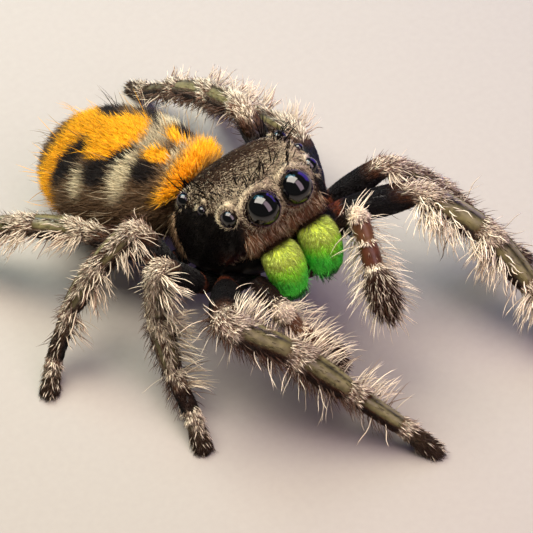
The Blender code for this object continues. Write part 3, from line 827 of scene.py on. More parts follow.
@dataclass
class Form:
    """A stretch of skin: a closed tube of rings on a grid.

    Attributes:
        name: what it is.
        points: rings × places round the ring × 3.
        reach: the ring's place along the form, in its own units.
        turn: degrees round the ring from its upper side.
        marker: gives the marks from reach, turn and place.
        finish: number of the skin's finish.
    """

    name: str
    points: Array
    reach: Array
    turn: Array
    marker: Marker
    finish: int

    def __post_init__(self) -> None:
        """Work out which way the grid winds: +1 where ring × length points out."""
        normals = self.raw_normals()
        outward = self.points - self.points.mean(axis=1, keepdims=True)
        self.winding = 1.0 if np.sum(normals * outward) > 0 else -1.0

    def raw_normals(self) -> Array:
        """Unit cross products of the steps round the ring and along the form, in or out."""
        round_step = np.roll(self.points, -1, axis=1) - np.roll(self.points, 1, axis=1)
        return unit(np.cross(round_step, np.gradient(self.points, axis=0)))

    def normals(self) -> Array:
        """Outward unit normals of the grid."""
        return self.raw_normals() * self.winding

    def grids(self) -> tuple[Array, Array]:
        """Reach and turn at every grid point."""
        return np.broadcast_arrays(self.reach[:, None], self.turn[None, :])

    def triangles(self) -> tuple[Array, Array]:
        """Points and triangles, with a middle point closing each end.

        Returns:
            Places of the points, and three point numbers a triangle.
        """
        rows, columns = self.points.shape[:2]
        row, column = np.meshgrid(np.arange(rows - 1), np.arange(columns), indexing="ij")
        a = row * columns + column
        b = row * columns + (column + 1) % columns
        c, d = b + columns, a + columns
        sides = np.concatenate([np.stack([a, b, c], -1), np.stack([a, c, d], -1)]).reshape(-1, 3)
        ring = np.arange(columns)
        ahead = (ring + 1) % columns
        first = np.stack([ahead, ring, np.full(columns, rows * columns)], -1)
        base = (rows - 1) * columns
        last = np.stack([base + ring, base + ahead, np.full(columns, rows * columns + 1)], -1)
        faces = np.concatenate([sides, first, last])
        if self.winding < 0:
            faces = faces[:, ::-1]
        ends = self.points[[0, -1]].mean(axis=1)
        return np.concatenate([self.points.reshape(-1, 3), ends]), faces

    def unwrap(self, reach: Array, turn: Array) -> Array:
        """Place on the skin's unwrap: along the form across, round it upwards."""
        span = self.reach[-1] - self.reach[0]
        return np.stack([(reach - self.reach[0]) / span, (turn + 180.0) / 360.0], -1)

    def scatter(self, rng: np.random.Generator, count: int, density: Density) -> Roots:
        """Pick root places, as many in each cell as its area and density ask.

        Args:
            rng: the seeded random source.
            count: how many roots.
            density: weight from reach, turn and place.

        Returns:
            The roots.
        """
        points = self.points
        ahead, aside = points[1:], np.roll(points, -1, axis=1)[:-1]
        area = np.linalg.norm(np.cross(ahead - points[:-1], aside - points[:-1]), axis=-1)
        reach, turn = (grid[:-1] for grid in self.grids())
        weight = area * np.maximum(density(reach, turn, points[:-1]), 0.0)
        cell = rng.choice(weight.size, count, p=(weight / weight.sum()).ravel())
        row, column = np.unravel_index(cell, weight.shape)
        u, v = rng.random(count), rng.random(count)
        beside = (column + 1) % points.shape[1]

        def blend(grid: Array) -> Array:
            """Bilinear blend of a grid in each root's cell.

            Args:
                grid: values at the grid's points.

            Returns:
                The values at the roots.
            """
            s, t = (u, v) if grid.ndim == 2 else (u[:, None], v[:, None])
            low = grid[row, column] * (1 - t) + grid[row, beside] * t
            high = grid[row + 1, column] * (1 - t) + grid[row + 1, beside] * t
            return low * (1 - s) + high * s

        place, out = blend(points), unit(blend(self.normals()))
        along = unit(blend(unit(np.gradient(points, axis=0))))
        span = np.diff(self.turn, append=self.turn[0] + 360.0)
        reach_at = self.reach[row] + (self.reach[row + 1] - self.reach[row]) * u
        turn_at = self.turn[column] + span[column] * v
        turn_at = (turn_at + 180.0) % 360.0 - 180.0
        marks = self.marker(reach_at, turn_at, place)
        return Roots(place, out, along, reach_at, marks, self.unwrap(reach_at, turn_at))


@dataclass(frozen=True)
class Hair:
    """How one kind of hair grows: sizes in millimetres, angles in degrees.

    Attributes:
        length, width: of one hair.
        lean: how far it stands off the skin at its root.
        bend: the share of the lean that it has lost at its tip.
        stray: sideways scatter of its lie.
        curl: how far its tip may turn sideways.
        wave: how far it swings to and fro along its length.
        rings: rings between root and tip.
        uneven: share by which lengths differ.
    """

    length: float
    width: float
    lean: float
    bend: float = 0.6
    stray: float = 12.0
    curl: float = 0.0
    wave: float = 0.0
    rings: int = 0
    uneven: float = 0.25


@dataclass
class Coat:
    """One piece of coat: hairs as closed three-sided strands.

    Attributes:
        name, finish, seed: the piece's own.
        sunk: how deep a root lies under the skin, in half widths.
        taper: the share of its width that a hair loses before its tip.
        flatness: a strand's height over its half width.
        waves: how many radians a wave turns along a hair.
        unwrap_half, unwrap_edge: a hair's half size on the unwrap, and its margin.
    """

    name: str
    finish: Finish
    seed: int
    sunk: float = 0.4
    taper: float = 0.75
    flatness: float = 0.8
    waves: float = 7.0
    unwrap_half: float = 0.0015
    unwrap_edge: float = 0.005
    points: list = field(default_factory=list)
    faces: list = field(default_factory=list)
    marks: list = field(default_factory=list)
    strands: list = field(default_factory=list)
    bakes: list = field(default_factory=list)
    total: int = 0

    def __post_init__(self) -> None:
        """Seed the piece's own random source."""
        self.rng = np.random.default_rng(self.seed)

    def grow(self, roots: Roots, hair: Hair, lie: Array) -> None:
        """Add a hair at each root.

        The middle line starts along the lie, lifted off the skin by the lean,
        and loses that lift towards its tip. Each ring is a flat triangle whose
        size falls along the hair to a point at the tip.

        Args:
            roots: where the hairs grow.
            hair: their kind.
            lie: the direction they lie in, for each or for all.
        """
        rng, count = self.rng, len(roots.place)
        if not count:
            return
        # The lie, pressed flat on the skin and turned aside by the stray
        out = roots.out
        lie = np.broadcast_to(lie, out.shape)
        lie = unit(lie - out * np.sum(lie * out, axis=1, keepdims=True))
        across = np.cross(out, lie)
        stray = np.radians(rng.normal(0.0, hair.stray, count))[:, None]
        lie = lie * np.cos(stray) + across * np.sin(stray)
        across = np.cross(out, lie)
        lean = np.radians(hair.lean * rng.uniform(0.7, 1.3, count))[:, None]
        curl = np.radians(hair.curl * rng.uniform(-1.0, 1.0, count))[:, None]
        phase = rng.uniform(0.0, 2.0 * math.pi, count)[:, None]
        length = hair.length * MM * rng.uniform(1.0 - hair.uneven, 1.0 + hair.uneven, count)[:, None]
        # Three corners a ring, from the sunk root up the middle line
        half = 0.5 * hair.width * MM
        steps = hair.rings + 1
        place = roots.place - out * self.sunk * half
        rings = []
        for step in range(steps):
            share = step / steps
            tilt = lean * (1.0 - hair.bend * share)
            side = curl * share + math.radians(hair.wave) * np.sin(self.waves * share + phase)
            course = (lie * np.cos(side) + across * np.sin(side)) * np.cos(tilt) + out * np.sin(tilt)
            wide = unit(across - course * np.sum(across * course, axis=1, keepdims=True))
            ridge = np.cross(course, wide)
            size = half * (1.0 - self.taper * share * share)
            corners = place + wide * size, place + ridge * size * self.flatness, place - wide * size
            rings.append(np.stack(corners, 1))
            place = place + course * length / steps
        points = np.concatenate([*rings, place[:, None]], axis=1)
        # Faces of one hair: its root's lid, its sides and its tip
        per = points.shape[1]
        local = [(2, 1, 0)]
        for step in range(hair.rings):
            base = 3 * step
            for a, b in ((0, 1), (1, 2), (2, 0)):
                local += [(base + a, base + b, base + b + 3), (base + a, base + b + 3, base + a + 3)]
        base = 3 * hair.rings
        local += [(base + a, base + b, per - 1) for a, b in ((0, 1), (1, 2), (2, 0))]
        faces = np.array(local)[None] + (np.arange(count) * per + self.total)[:, None, None]
        # Tone of the strand, height along it, and its small patch of the unwrap
        rise = np.append(np.repeat(np.arange(steps) / steps, 3), 1.0)
        side = np.array([1.0, 0.0, -1.0] * steps + [0.0])
        tone = rng.random(count)
        strand = np.stack(np.broadcast_arrays(tone[:, None], rise[None]), -1)
        spot = np.stack([side, 2.0 * rise - 1.0], -1) * self.unwrap_half
        bake = self.unwrap_edge + (1.0 - 2.0 * self.unwrap_edge) * roots.bake[:, None] + spot[None]
        self.points.append(points.reshape(-1, 3))
        self.faces.append(faces.reshape(-1, 3))
        self.marks.append(np.repeat(roots.marks, per, axis=0))
        self.strands.append(strand.reshape(-1, 2))
        self.bakes.append(bake.reshape(-1, 2))
        self.total += count * per

    def build(self, slot: str) -> bpy.types.Object:
        """Make the piece of all its hairs.

        Args:
            slot: the kind of part that it belongs to; not used.

        Returns:
            The piece's object.
        """
        parts = (self.points, self.faces, self.marks, self.strands, self.bakes)
        points, faces, marks, strands, bakes = (np.concatenate(part) for part in parts)
        mesh = new_mesh(self.name, points, faces, marks, strands, np.clip(bakes, 0.0, 1.0))
        return new_piece(self.name, mesh, [self.finish])


def stack_marks(orange: Array, pale: Array, dark: Array, red: Array) -> Array:
    """Marks as one array of four columns, each held between 0 and 1."""
    return np.clip(np.stack(np.broadcast_arrays(orange, pale, dark, red), -1), 0.0, 1.0)


def even_marks(orange: float = 0.0, pale: float = 0.0, dark: float = 0.0, red: float = 0.0) -> Marker:
    """Marker that gives the same marks everywhere."""
    return lambda reach, turn, place: np.broadcast_to([orange, pale, dark, red], (*np.shape(reach), 4))


def superellipse(
    turn: Array, half_width: Array, top: Array, bottom: Array, squareness: Array
) -> tuple[Array, Array]:
    """Rounded-square rings about their widest level.

    Sideways is the sine of the turn, and up its cosine, each with its size
    raised to 2 / squareness and given the ring's reach on that side.

    Args:
        turn: radians round the ring from its top.
        half_width, top, bottom: each ring's limits.
        squareness: 2 for an oval, more for a rounded box.

    Returns:
        Sideways and up at each point.
    """
    middle = np.clip(CARAPACE_WIDEST_UP, bottom + 0.05, np.maximum(top - 0.04, bottom + 0.05))
    s, c = np.sin(turn), np.cos(turn)
    reach = np.where(c > 0.0, top - middle, middle - bottom)
    sideways = np.sign(s) * np.abs(s) ** (2.0 / squareness) * half_width
    return sideways, middle + np.sign(c) * np.abs(c) ** (2.0 / squareness) * reach


def oval_rings(name: str, stations: Sequence, rows: int, columns: int, marker: Marker) -> Form:
    """A part under the head as oval rings.

    Args:
        name: what it is.
        stations: back, half width, up and half height of its rings.
        rows, columns: rings, and points round each.
        marker: gives the marks.

    Returns:
        The part.
    """
    table = np.array(stations)
    back = np.linspace(table[0, 0], table[-1, 0], rows)
    width, middle, height = (np.interp(back, table[:, 0], table[:, k])[:, None] for k in (1, 2, 3))
    turn, angle = ring_turns(columns)
    points = BODY.head(width * np.sin(angle), back[:, None], middle + height * np.cos(angle))
    return Form(name, points, back, turn, marker, 0)


@dataclass
class Head:
    """The carapace, its eyes, jaws and underside plate.

    Attributes:
        rows, columns: rings of the carapace, and points round each.
        lens_rows: rings of a lens.
        jaw_rows, jaw_columns: the same of a jaw.
        thinnest: least half width of the carapace's skin.
        mounds, rims: how far the skin rises at an eye and round it, in radii.
    """

    rows: int = 110
    columns: int = 112
    lens_rows: int = 28
    jaw_rows: int = 60
    jaw_columns: int = 56
    thinnest: float = 0.004
    mounds: tuple[float, float] = (0.10, 0.38)
    rims: float = 0.10

    def __post_init__(self) -> None:
        """Work out the shield once."""
        self.shield = self.carapace()

    def marks(self, back: Array, turn: Array, place: Array) -> Array:
        """Marks on the carapace.

        Pale over the crown's front and along the eye line, black on the cheeks
        below it, red low on the face, pale orange behind each rear eye.

        Args:
            back, turn, place: station, degrees and places.

        Returns:
            The four marks.
        """
        sideways, _, level = BODY.offset(place)
        wide = np.abs(sideways)
        crown = fade(level, 0.03, 0.11)
        over = level - self.eye_level(back)
        eye_line = bump(over, 0.045, 0.04) * fade(wide, 0.16, 0.27)
        front = crown * (1.0 - fade(back, 0.08, 0.40))
        cheek = fade(-over, -0.022, 0.012) * fade(wide, 0.22, 0.28)
        streak = 1.3 * bump(back, 0.545 + 0.10 * level, 0.012) * fade(wide, 0.34, 0.38)
        streak = streak * fade(level, -0.27, -0.18) * (1.0 - fade(level, 0.0, 0.06))
        face = fade(-level, 0.02, 0.10) * (1.0 - fade(wide, 0.16, 0.26)) * (1.0 - fade(back, 0.1, 0.2))
        pale = 0.03 * crown + 1.05 * front + 0.75 * eye_line + 0.35 * face + streak
        glow = 0.7 * cheek * fade(-level, 0.12, 0.24) * (1.0 - fade(back, 0.14, 0.30))
        red = 0.8 * face + glow
        dark = cheek - streak - 0.8 * glow + 0.62 * crown * fade(back, 0.32, 0.56) * (1.0 - cheek)
        return stack_marks(0.45 * streak, pale * (1.0 - cheek) + streak, dark, red)

    @staticmethod
    def eye_level(back: Array) -> Array:
        """Height of the line through the side and rear eyes, where the cheek ends."""
        stations = [kind.value[1:3] for kind in (Eye.SIDE, Eye.SMALL, Eye.REAR)]
        return np.interp(back, *zip(*stations)) - 0.01

    def carapace(self) -> Form:
        """The shield as rounded-square rings along the head, raised round each eye.

        Returns:
            The form, its end rings as in the table.
        """
        stations = np.array(CARAPACE_STATIONS)
        share = np.linspace(0.0, 1.0, self.rows)
        spread = np.interp(share, np.linspace(0.0, 1.0, len(stations)), stations[:, 0])
        profile = np.stack([np.interp(spread, stations[:, 0], stations[:, k]) for k in range(1, 5)], 1)
        profile = np.concatenate([profile[:6], blur(profile, 2.4)[6:-4], profile[-4:]])
        turn, angle = ring_turns(self.columns)
        width, top, bottom, square = (profile[:, k : k + 1] for k in range(4))
        width = np.maximum(width - SKIN_DEPTH, self.thinnest)
        sideways, level = superellipse(angle, width, top - SKIN_DEPTH, bottom + SKIN_DEPTH, square)
        back = np.broadcast_to(spread[:, None], sideways.shape)
        form = Form("carapace", BODY.head(sideways, back, level), spread, turn, self.marks, 0)
        return self.raise_eyes(form)

    def raise_eyes(self, form: Form) -> Form:
        """Lift the skin round each eye: a soft mound, and a rim just outside the lens.

        Args:
            form: the shield.

        Returns:
            The same form, raised.
        """
        normals = form.normals()
        lift = np.zeros(form.points.shape[:2])
        for kind in Eye:
            radius = kind.value[3] * CARAPACE
            for side in Side:
                distance = np.linalg.norm(form.points - BODY.eye(kind, side), axis=-1)
                mound = self.mounds[kind is not Eye.FRONT]
                lift += mound * radius * bump(distance, 0.0, 1.55 * radius)
                lift += self.rims * radius * bump(distance, 1.12 * radius, 0.11 * radius)
        form.points = form.points + normals * lift[..., None]
        return form

    def sternum(self) -> Form:
        """The plate under the head, of plain dark cuticle with a little red."""
        return oval_rings("sternum", STERNUM_STATIONS, 40, 32, even_marks(dark=0.3, red=0.4))

    def flank(self) -> Form:
        """The soft dark body that carries the hips."""
        return oval_rings("flank", FLANK_STATIONS, 40, 40, even_marks(dark=0.8))

    def mouth(self) -> list[Form]:
        """The two mouth lobes and the lip between them, each a blunt finger.

        Returns:
            The three fingers.
        """
        forms = []
        for sideways, back, up, length, half in MOUTH_PARTS:
            for side in Side if sideways else (Side.LEFT,):
                start = BODY.head(side.value * sideways, back, up)
                end = BODY.head(side.value * sideways * 0.7, back - 0.05, up - length)
                size = half * np.array([0.8, 1.0, 1.06, 1.04, 0.95, 0.75, 0.35]) * CARAPACE
                forms.append(tube("mouth", np.linspace(start, end, 7), size, red_marks, 0, 18))
        return forms

    def lenses(self) -> None:
        """Eight eyes: balls as rings of latitude about the sideways axis."""
        polar = np.linspace(0.0, math.pi, self.lens_rows + 2)[1:-1, None]
        turn, angle = ring_turns(2 * self.lens_rows)
        ball = (
            BODY.back * (-np.cos(polar) * np.ones_like(angle))[..., None]
            + BODY.left * (np.sin(polar) * np.sin(angle))[..., None]
            + BODY.up * (np.sin(polar) * np.cos(angle))[..., None]
        )
        for kind in Eye:
            for side in Side:
                points = BODY.eye(kind, side) + ball * kind.value[3] * CARAPACE
                vertices, faces = Form("eye", points, polar[:, 0], turn, even_marks(), 0).triangles()
                name = f"lens_{kind.name.lower()}_{side.word}"
                mesh = new_mesh(name, vertices, faces, np.zeros((len(vertices), 4)))
                piece = new_piece(name, mesh, [LENS])
                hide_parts(f"eye_{kind.name.lower()}_{side.word}")

    def jaws(self) -> None:
        """The two jaws as oval rings down their length, coloured by their drop."""
        stations = np.array(CHELICERA_STATIONS)
        share = np.linspace(0.0, 1.0, self.jaw_rows)
        spread = np.linspace(0, 1, len(stations))
        rows = np.stack([np.interp(share, spread, stations[:, k]) for k in range(4)], 1)
        rows = np.concatenate([rows[:2], blur(rows, 2.0)[2:-2], rows[-2:]])
        turn, angle = ring_turns(self.jaw_columns)
        back, up, wide, deep = (rows[:, k : k + 1] for k in range(4))
        for side in Side:
            sideways = side.value * CHELICERA_SIDEWAYS + wide * np.sin(angle)
            points = BODY.head(sideways, back + deep * np.cos(angle), up * np.ones_like(angle))
            form = Form("jaw", points, share, turn, jaw_marks, 0)
            vertices, faces = form.triangles()
            name = f"jaw_{side.word}"
            mesh = new_mesh(name, vertices, faces, jaw_marks(np.zeros(len(vertices)), 0.0, vertices))
            piece = new_piece(name, mesh, [JAW])
            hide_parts(f"chelicera_{side.word}")
            self.jaw_coat(form, side)

    def jaw_coat(self, form: Form, side: Side) -> None:
        """Fine shining hair down the jaw, and a fringe at its inner end.

        Args:
            form: the jaw.
            side: which one it is.
        """
        coat = Coat(f"coat_jaw_{side.word}", JAW_HAIR, 15 + (side is Side.LEFT))

        def all_round(reach: Array, turn: Array, place: Array) -> Array:
            """Even but for the hidden top."""
            return fade(reach, 0.06, 0.14) + 0.0 * turn

        def inner_end(reach: Array, turn: Array, place: Array) -> Array:
            """Towards the midline, near the fang."""
            inward = CHELICERA_SIDEWAYS - np.abs(BODY.offset(place)[0])
            return fade(reach, 0.6, 0.9) * fade(inward, 0.0, 0.05) + BARE

        roots = form.scatter(coat.rng, 5200, all_round)
        coat.grow(roots, Hair(0.17, 0.018, lean=13.0, bend=0.7, stray=16.0), -BODY.up)
        roots = form.scatter(coat.rng, 70, inner_end)
        coat.grow(roots, Hair(0.30, 0.020, lean=40.0, bend=0.4, stray=20.0, curl=35.0, rings=2), -BODY.up)
        coat.build("chelicera")

    def coat(self) -> None:
        """All the head's hair: fur, moustache, pale lines, rings round the eyes, bristles."""
        coat = Coat("coat_head", HEAD_HAIR, 21)
        self.fur(coat)
        self.moustache(coat)
        self.face_lines(coat)
        self.eye_rings(coat)
        coat.build("carapace")
        self.bristles()

    def fur(self, coat: Coat) -> None:
        """Short fur, pale and brown hairs mixed, that runs forwards and parts at the rear.

        Args:
            coat: the head's coat.
        """

        def density(back: Array, turn: Array, place: Array) -> Array:
            """Thick on the crown and round the eyes, thin on the face, bare cheeks.

            Args:
                back, turn, place: station, degrees and places.

            Returns:
                The weights.
            """
            sideways, _, level = BODY.offset(place)
            over = level - self.eye_level(back)
            crown = fade(over, 0.0, 0.04)
            cheek = fade(-over, -0.02, 0.012) * fade(np.abs(sideways), 0.20, 0.27)
            rear = fade(back, 0.5, 0.62)
            return 0.006 + crown + 0.5 * rear * (1.0 - cheek) + 0.45 * (1.0 - cheek) * (1.0 - crown)

        roots = self.shield.scatter(coat.rng, 34000, density)
        clear = np.ones(len(roots.place), bool)
        for kind in Eye:
            for side in Side:
                gap = np.linalg.norm(roots.place - BODY.eye(kind, side), axis=1)
                clear &= gap > 1.04 * kind.value[3] * CARAPACE
        roots = roots.keep(clear)
        ahead = 1.0 - 2.0 * fade(roots.reach, 0.35, 0.62)
        outward = 0.8 * BODY.offset(roots.place)[0]
        lie = -BODY.back * ahead[:, None] + BODY.left * outward[:, None] - BODY.up * 0.35
        keen = coat.rng.random(len(roots.place))
        wanted = 0.52 + 0.48 * fade(clumps(roots.place, 0.22), 0.28, 0.66)
        wanted = 0.03 + 0.93 * roots.marks[:, 1] * wanted
        roots.marks[:, 1] = np.where(keen < wanted, 0.50 + 0.50 * coat.rng.random(len(keen)), 0.05)
        coat.grow(roots, Hair(0.15, 0.022, lean=20.0, stray=26.0), lie)

    def moustache(self, coat: Coat) -> None:
        """Brown-grey hair that hangs from the face over the jaws' roots.

        Args:
            coat: the head's coat.
        """

        def face(back: Array, turn: Array, place: Array) -> Array:
            """Below the front eyes.

            Args:
                back, turn, place: station, degrees and places.

            Returns:
                The weights.
            """
            sideways, _, level = BODY.offset(place)
            low = fade(-level, 0.09, 0.14) * (1.0 - fade(-level, 0.20, 0.23))
            return low * (1.0 - fade(np.abs(sideways), 0.20, 0.26)) * (1.0 - fade(back, 0.09, 0.14)) + BARE

        roots = self.shield.scatter(coat.rng, 2000, face)
        pale = np.where(coat.rng.random(len(roots.place)) > 0.66, 0.50, 0.06)
        roots.paint((0.0, 0.0, 0.0, 0.75))
        roots.marks[:, 1] = pale
        coat.grow(roots, Hair(0.38, 0.020, lean=30.0, bend=0.5, stray=16.0, curl=18.0, rings=1), -BODY.up)

    def face_lines(self, coat: Coat) -> None:
        """Pale hair along the shield's lower margin and behind each rear eye.

        Args:
            coat: the head's coat.
        """

        def margin(back: Array, turn: Array, place: Array) -> Array:
            """The lower edge of face and cheeks."""
            edge = np.interp(back, [0.04, 0.12, 0.20, 0.45], [-0.185, -0.225, -0.285, -0.315])
            return bump(BODY.offset(place)[2], edge, 0.010) * (1.0 - fade(back, 0.24, 0.45)) + BARE

        def streak(back: Array, turn: Array, place: Array) -> Array:
            """The pale streak down the rear of the cheek."""
            ragged = 0.25 + 0.9 * fade(clumps(place, 0.10), 0.35, 0.65)
            return self.marks(back, turn, place)[..., 0] * ragged + BARE

        roots = self.shield.scatter(coat.rng, 900, margin)
        roots.paint(MARGIN_CREAM)
        coat.grow(roots, Hair(0.16, 0.014, lean=30.0, stray=20.0), -BODY.up - BODY.back * 0.6)
        roots = self.shield.scatter(coat.rng, 700, streak)
        roots.paint(SALMON)
        roots.marks[coat.rng.random(len(roots.place)) < 0.30] = DARK_RED
        coat.grow(roots, Hair(0.30, 0.020, lean=24.0, stray=16.0, uneven=0.4), -BODY.up)

    def eye_rings(self, coat: Coat) -> None:
        """Rings of pale hair round the eyes, lying outwards and round the lens.

        Args:
            coat: the head's coat.
        """
        for kind in Eye:
            radius = kind.value[3] * CARAPACE
            for side in Side:
                centre = BODY.eye(kind, side)

                def near(back: Array, turn: Array, place: Array) -> Array:
                    """Only a ring just outside the lens."""
                    return bump(np.linalg.norm(place - centre, axis=-1) / radius, 1.16, 0.08) + BARE

                roots = self.shield.scatter(coat.rng, 700 if kind is Eye.FRONT else 260, near)
                gap = np.linalg.norm(roots.place - centre, axis=1) / radius
                roots = roots.keep((gap > 1.03) & (gap < 1.5))
                roots.marks = np.maximum(roots.marks, [0.0, 0.75, 0.0, 0.0]) * [1, 1, 0, 0]
                outward = unit(roots.place - centre)
                lie = outward * 0.5 + np.cross(BODY.back, outward)
                coat.grow(roots, Hair(0.15, 0.017, lean=38.0, stray=25.0), lie)

    def bristles(self) -> None:
        """Long dark bristles over the eyes and on the crown, short ones on the cheeks."""
        coat = Coat("bristles_head", BRISTLE, 22)

        def density(back: Array, turn: Array, place: Array) -> Array:
            """Along the eye rows, on the crown's edge.

            Args:
                back, turn, place: station, degrees and places.

            Returns:
                The weights.
            """
            sideways, _, level = BODY.offset(place)
            edge = bump(np.abs(sideways), 0.29, 0.05) * fade(level, 0.05, 0.09)
            return edge + bump(back, 0.11, 0.04) * fade(level, 0.08, 0.11) + BARE

        def cheek(back: Array, turn: Array, place: Array) -> Array:
            """The black cheeks, below the line of the eyes."""
            return self.marks(back, turn, place)[..., 2] * (1.0 - fade(back, 0.80, 0.92)) + BARE

        roots = self.shield.scatter(coat.rng, 120, density)
        stiff = Hair(0.70, 0.036, lean=66.0, bend=0.35, stray=30.0, curl=35.0, rings=3, uneven=0.38)
        coat.grow(roots, stiff, -BODY.back)
        roots = self.shield.scatter(coat.rng, 7600, cheek)
        flat = Hair(0.19, 0.022, lean=15.0, stray=14.0, uneven=0.35)
        coat.grow(roots, flat, BODY.back - BODY.up * 0.8)
        coat.build("carapace")


@dataclass
class Abdomen:
    """The abdomen's egg, its stalk and spinnerets.

    Attributes:
        rows, columns: rings of the egg, and points round each.
        fullness: how much wider its rear half is.
        stalk_radius: the waist's, as a share of the carapace's length.
        spinneret_rows: up, sideways and length of each pair of spinnerets.
    """

    rows: int = 90
    columns: int = 96
    fullness: float = 0.05
    stalk_radius: float = 0.055
    spinneret_rows: tuple = ((0.022, 0.030, 0.155), (-0.012, 0.022, 0.120), (-0.040, 0.034, 0.150))

    def __post_init__(self) -> None:
        """Work out the egg once."""
        self.skin = self.egg()

    @staticmethod
    def marks(along: Array, across: Array, place: Array) -> Array:
        """The orange, cream and velvet marks from the angles along and across.

        A band round the front, two small spots, one large middle spot joined
        by a bridge to the bent stripe of both rear sides, and velvet bars and
        cream crescents beside them.

        Args:
            along, across, place: degrees to the rear, degrees from the top, and places.

        Returns:
            The four marks.
        """
        across = across - (3.0 - 0.2 * along)
        along = along + 5.5 * fade(along, -56.0, -44.0)
        side = np.abs(across)
        wobble = 2.0 * np.sin(across * 0.21) + 1.5 * np.sin(along * 0.33 + 1.0)
        far = fade(across, -10.0, 30.0)
        course = -61.5 + 4.0 * far + 14.0 * (side / 75.0) ** 4
        band = bump((along + 0.12 * wobble - course) / (7.2 + 1.5 * far), 0.0, 1.0)
        band = band * (1.0 - fade(side, 66.0, 82.0))
        spots = patch(side + 0.6 * wobble, along, (19.5, -33.5), (10.5, 9.0))
        middle = patch(across + wobble, along + 0.12 * (across + 5.0), (-8.0, -0.5), (29.0, 17.0), 0.12)
        bridge = patch(across, along, (2.0, 21.0), (14.0, 12.0), 0.15)
        stripe = bump(along, 31.5 + 14.0 * fade(side, 10.0, 60.0), 9.0) * (1.0 - fade(side, 96.0, 112.0))
        orange = np.maximum.reduce([1.3 * band, 1.3 * spots, 1.5 * middle, 1.5 * bridge, 2.0 * stripe])
        bars = np.maximum.reduce([
            patch(side, along + 0.25 * wobble, (40.0, -30.0), (13.0, 8.5)),
            patch(side, along + 0.25 * wobble, (47.0, 0.0), (13.0, 8.5)),
            patch(side, along - 0.50 * (side - 31.0), (31.0, -9.5), (15.0, 4.0)),
            patch(side, along - 0.33 * (side - 40.0), (38.0, 23.0), (24.0, 8.0)),
        ])
        cream = np.maximum.reduce([
            patch(side, along, (43.0, -16.0), (27.0, 6.5), 0.4),
            patch(side, along, (57.0, 12.0), (13.0, 4.5), 0.5),
            0.6 * patch(side, along, (8.0, -24.0), (14.0, 8.0), 0.5),
            0.7 * patch(side, along, (6.0, -45.5), (26.0, 4.5), 0.5),
        ])
        orange = np.clip(orange - 1.2 * bars, 0.0, 1.0)
        return stack_marks(orange, cream * (1.0 - orange) + 0.08, bars * (1.0 - orange), 0.0 * side)

    def egg(self) -> Form:
        """The egg: an ellipsoid fuller towards its rear.

        Returns:
            The form, its reach and turn being the two angles.
        """
        centre, left, back, up = BODY.abdomen
        along = np.linspace(-86.0, 86.0, self.rows)
        across, a = ring_turns(self.columns)
        b = np.radians(along)[:, None]
        wide, long, high = (half - SKIN_DEPTH for half in ABDOMEN_HALF)
        fullness = 1.0 + self.fullness * np.sin(b)
        x, z = np.sin(a) * np.cos(b) * wide * fullness, np.cos(a) * np.cos(b) * high * fullness
        y = np.broadcast_to(np.sin(b) * long, x.shape)
        points = centre + (left * x[..., None] + up * z[..., None] + back * y[..., None]) * CARAPACE
        return Form("abdomen", points, along, across, self.marks, 2)

    def stalk(self) -> Form:
        """The waist, a short tube sunk into carapace and abdomen.

        Returns:
            The tube.
        """
        start = BODY.head(0.0, 0.86, -0.325)
        line = np.linspace(start, start + (BODY.abdomen[0] - start) * 0.35, 12)
        radius = np.full(len(line), self.stalk_radius * CARAPACE)
        return tube("waist", line, radius, even_marks(dark=0.25), 0)

    def spinnerets(self) -> list[Form]:
        """Three pairs of short blunt fingers in a cluster at the rear end.

        Returns:
            The six fingers.
        """
        centre, left, back, up = BODY.abdomen
        root = centre + (back * 0.455 - up * 0.085) * CARAPACE
        course = unit(back * 0.95 - up * 0.32)
        forms = []
        for lift, spread, length in self.spinneret_rows:
            for side in Side:
                start = root + (left * side.value * spread + up * lift) * CARAPACE
                end = start + (course + left * side.value * 0.10) * length * CARAPACE
                size = np.array([0.030, 0.031, 0.030, 0.029, 0.027, 0.024, 0.018, 0.006]) * CARAPACE
                line = np.linspace(start, end, len(size))
                forms.append(tube("spinneret", line, size, even_marks(dark=0.25), 2, 14))
        return forms

    def coat(self) -> None:
        """Plush over the abdomen in two pieces, with long bristles at the rear."""
        back = BODY.abdomen[2]

        def even(along: Array, across: Array, place: Array) -> Array:
            """The same all over."""
            return 1.0 + 0.0 * along

        def upper(along: Array, across: Array, place: Array) -> Array:
            """Thick but for the underside."""
            return 0.2 + 1.2 * fade(-np.abs(across), -120.0, -70.0)

        def brush(along: Array, across: Array, place: Array) -> Array:
            """The orange marks behind the front band."""
            return self.marks(along, across, place)[..., 0] * (1.0 - fade(along, -54.0, -47.0)) + BARE

        coat = Coat("coat_abdomen_plush", ABDOMEN_HAIR, 31)
        roots = self.skin.scatter(coat.rng, 44000, upper)
        coat.grow(roots, Hair(0.24, 0.024, lean=26.0, stray=14.0), back)
        coat.build("abdomen")
        coat = Coat("coat_abdomen_top", ABDOMEN_HAIR, 32)
        roots = self.skin.scatter(coat.rng, 12500, upper)
        coat.grow(roots, Hair(0.40, 0.020, lean=34.0, bend=0.5, stray=16.0, curl=20.0, rings=1), back)
        roots = self.skin.scatter(coat.rng, 2600, brush)
        roots.marks[:, 1] = np.maximum(roots.marks[:, 1], 0.25)
        upright = Hair(0.52, 0.026, lean=66.0, bend=0.5, stray=16.0, curl=30.0, rings=2, uneven=0.35)
        coat.grow(roots, upright, back)
        roots = self.skin.scatter(coat.rng, 420, even)
        roots.marks[:, 1] = np.maximum(roots.marks[:, 1], 0.45)
        single = Hair(0.85, 0.018, lean=50.0, bend=0.4, stray=18.0, curl=25.0, rings=3, uneven=0.4)
        coat.grow(roots, single, back)
        coat.build("abdomen")


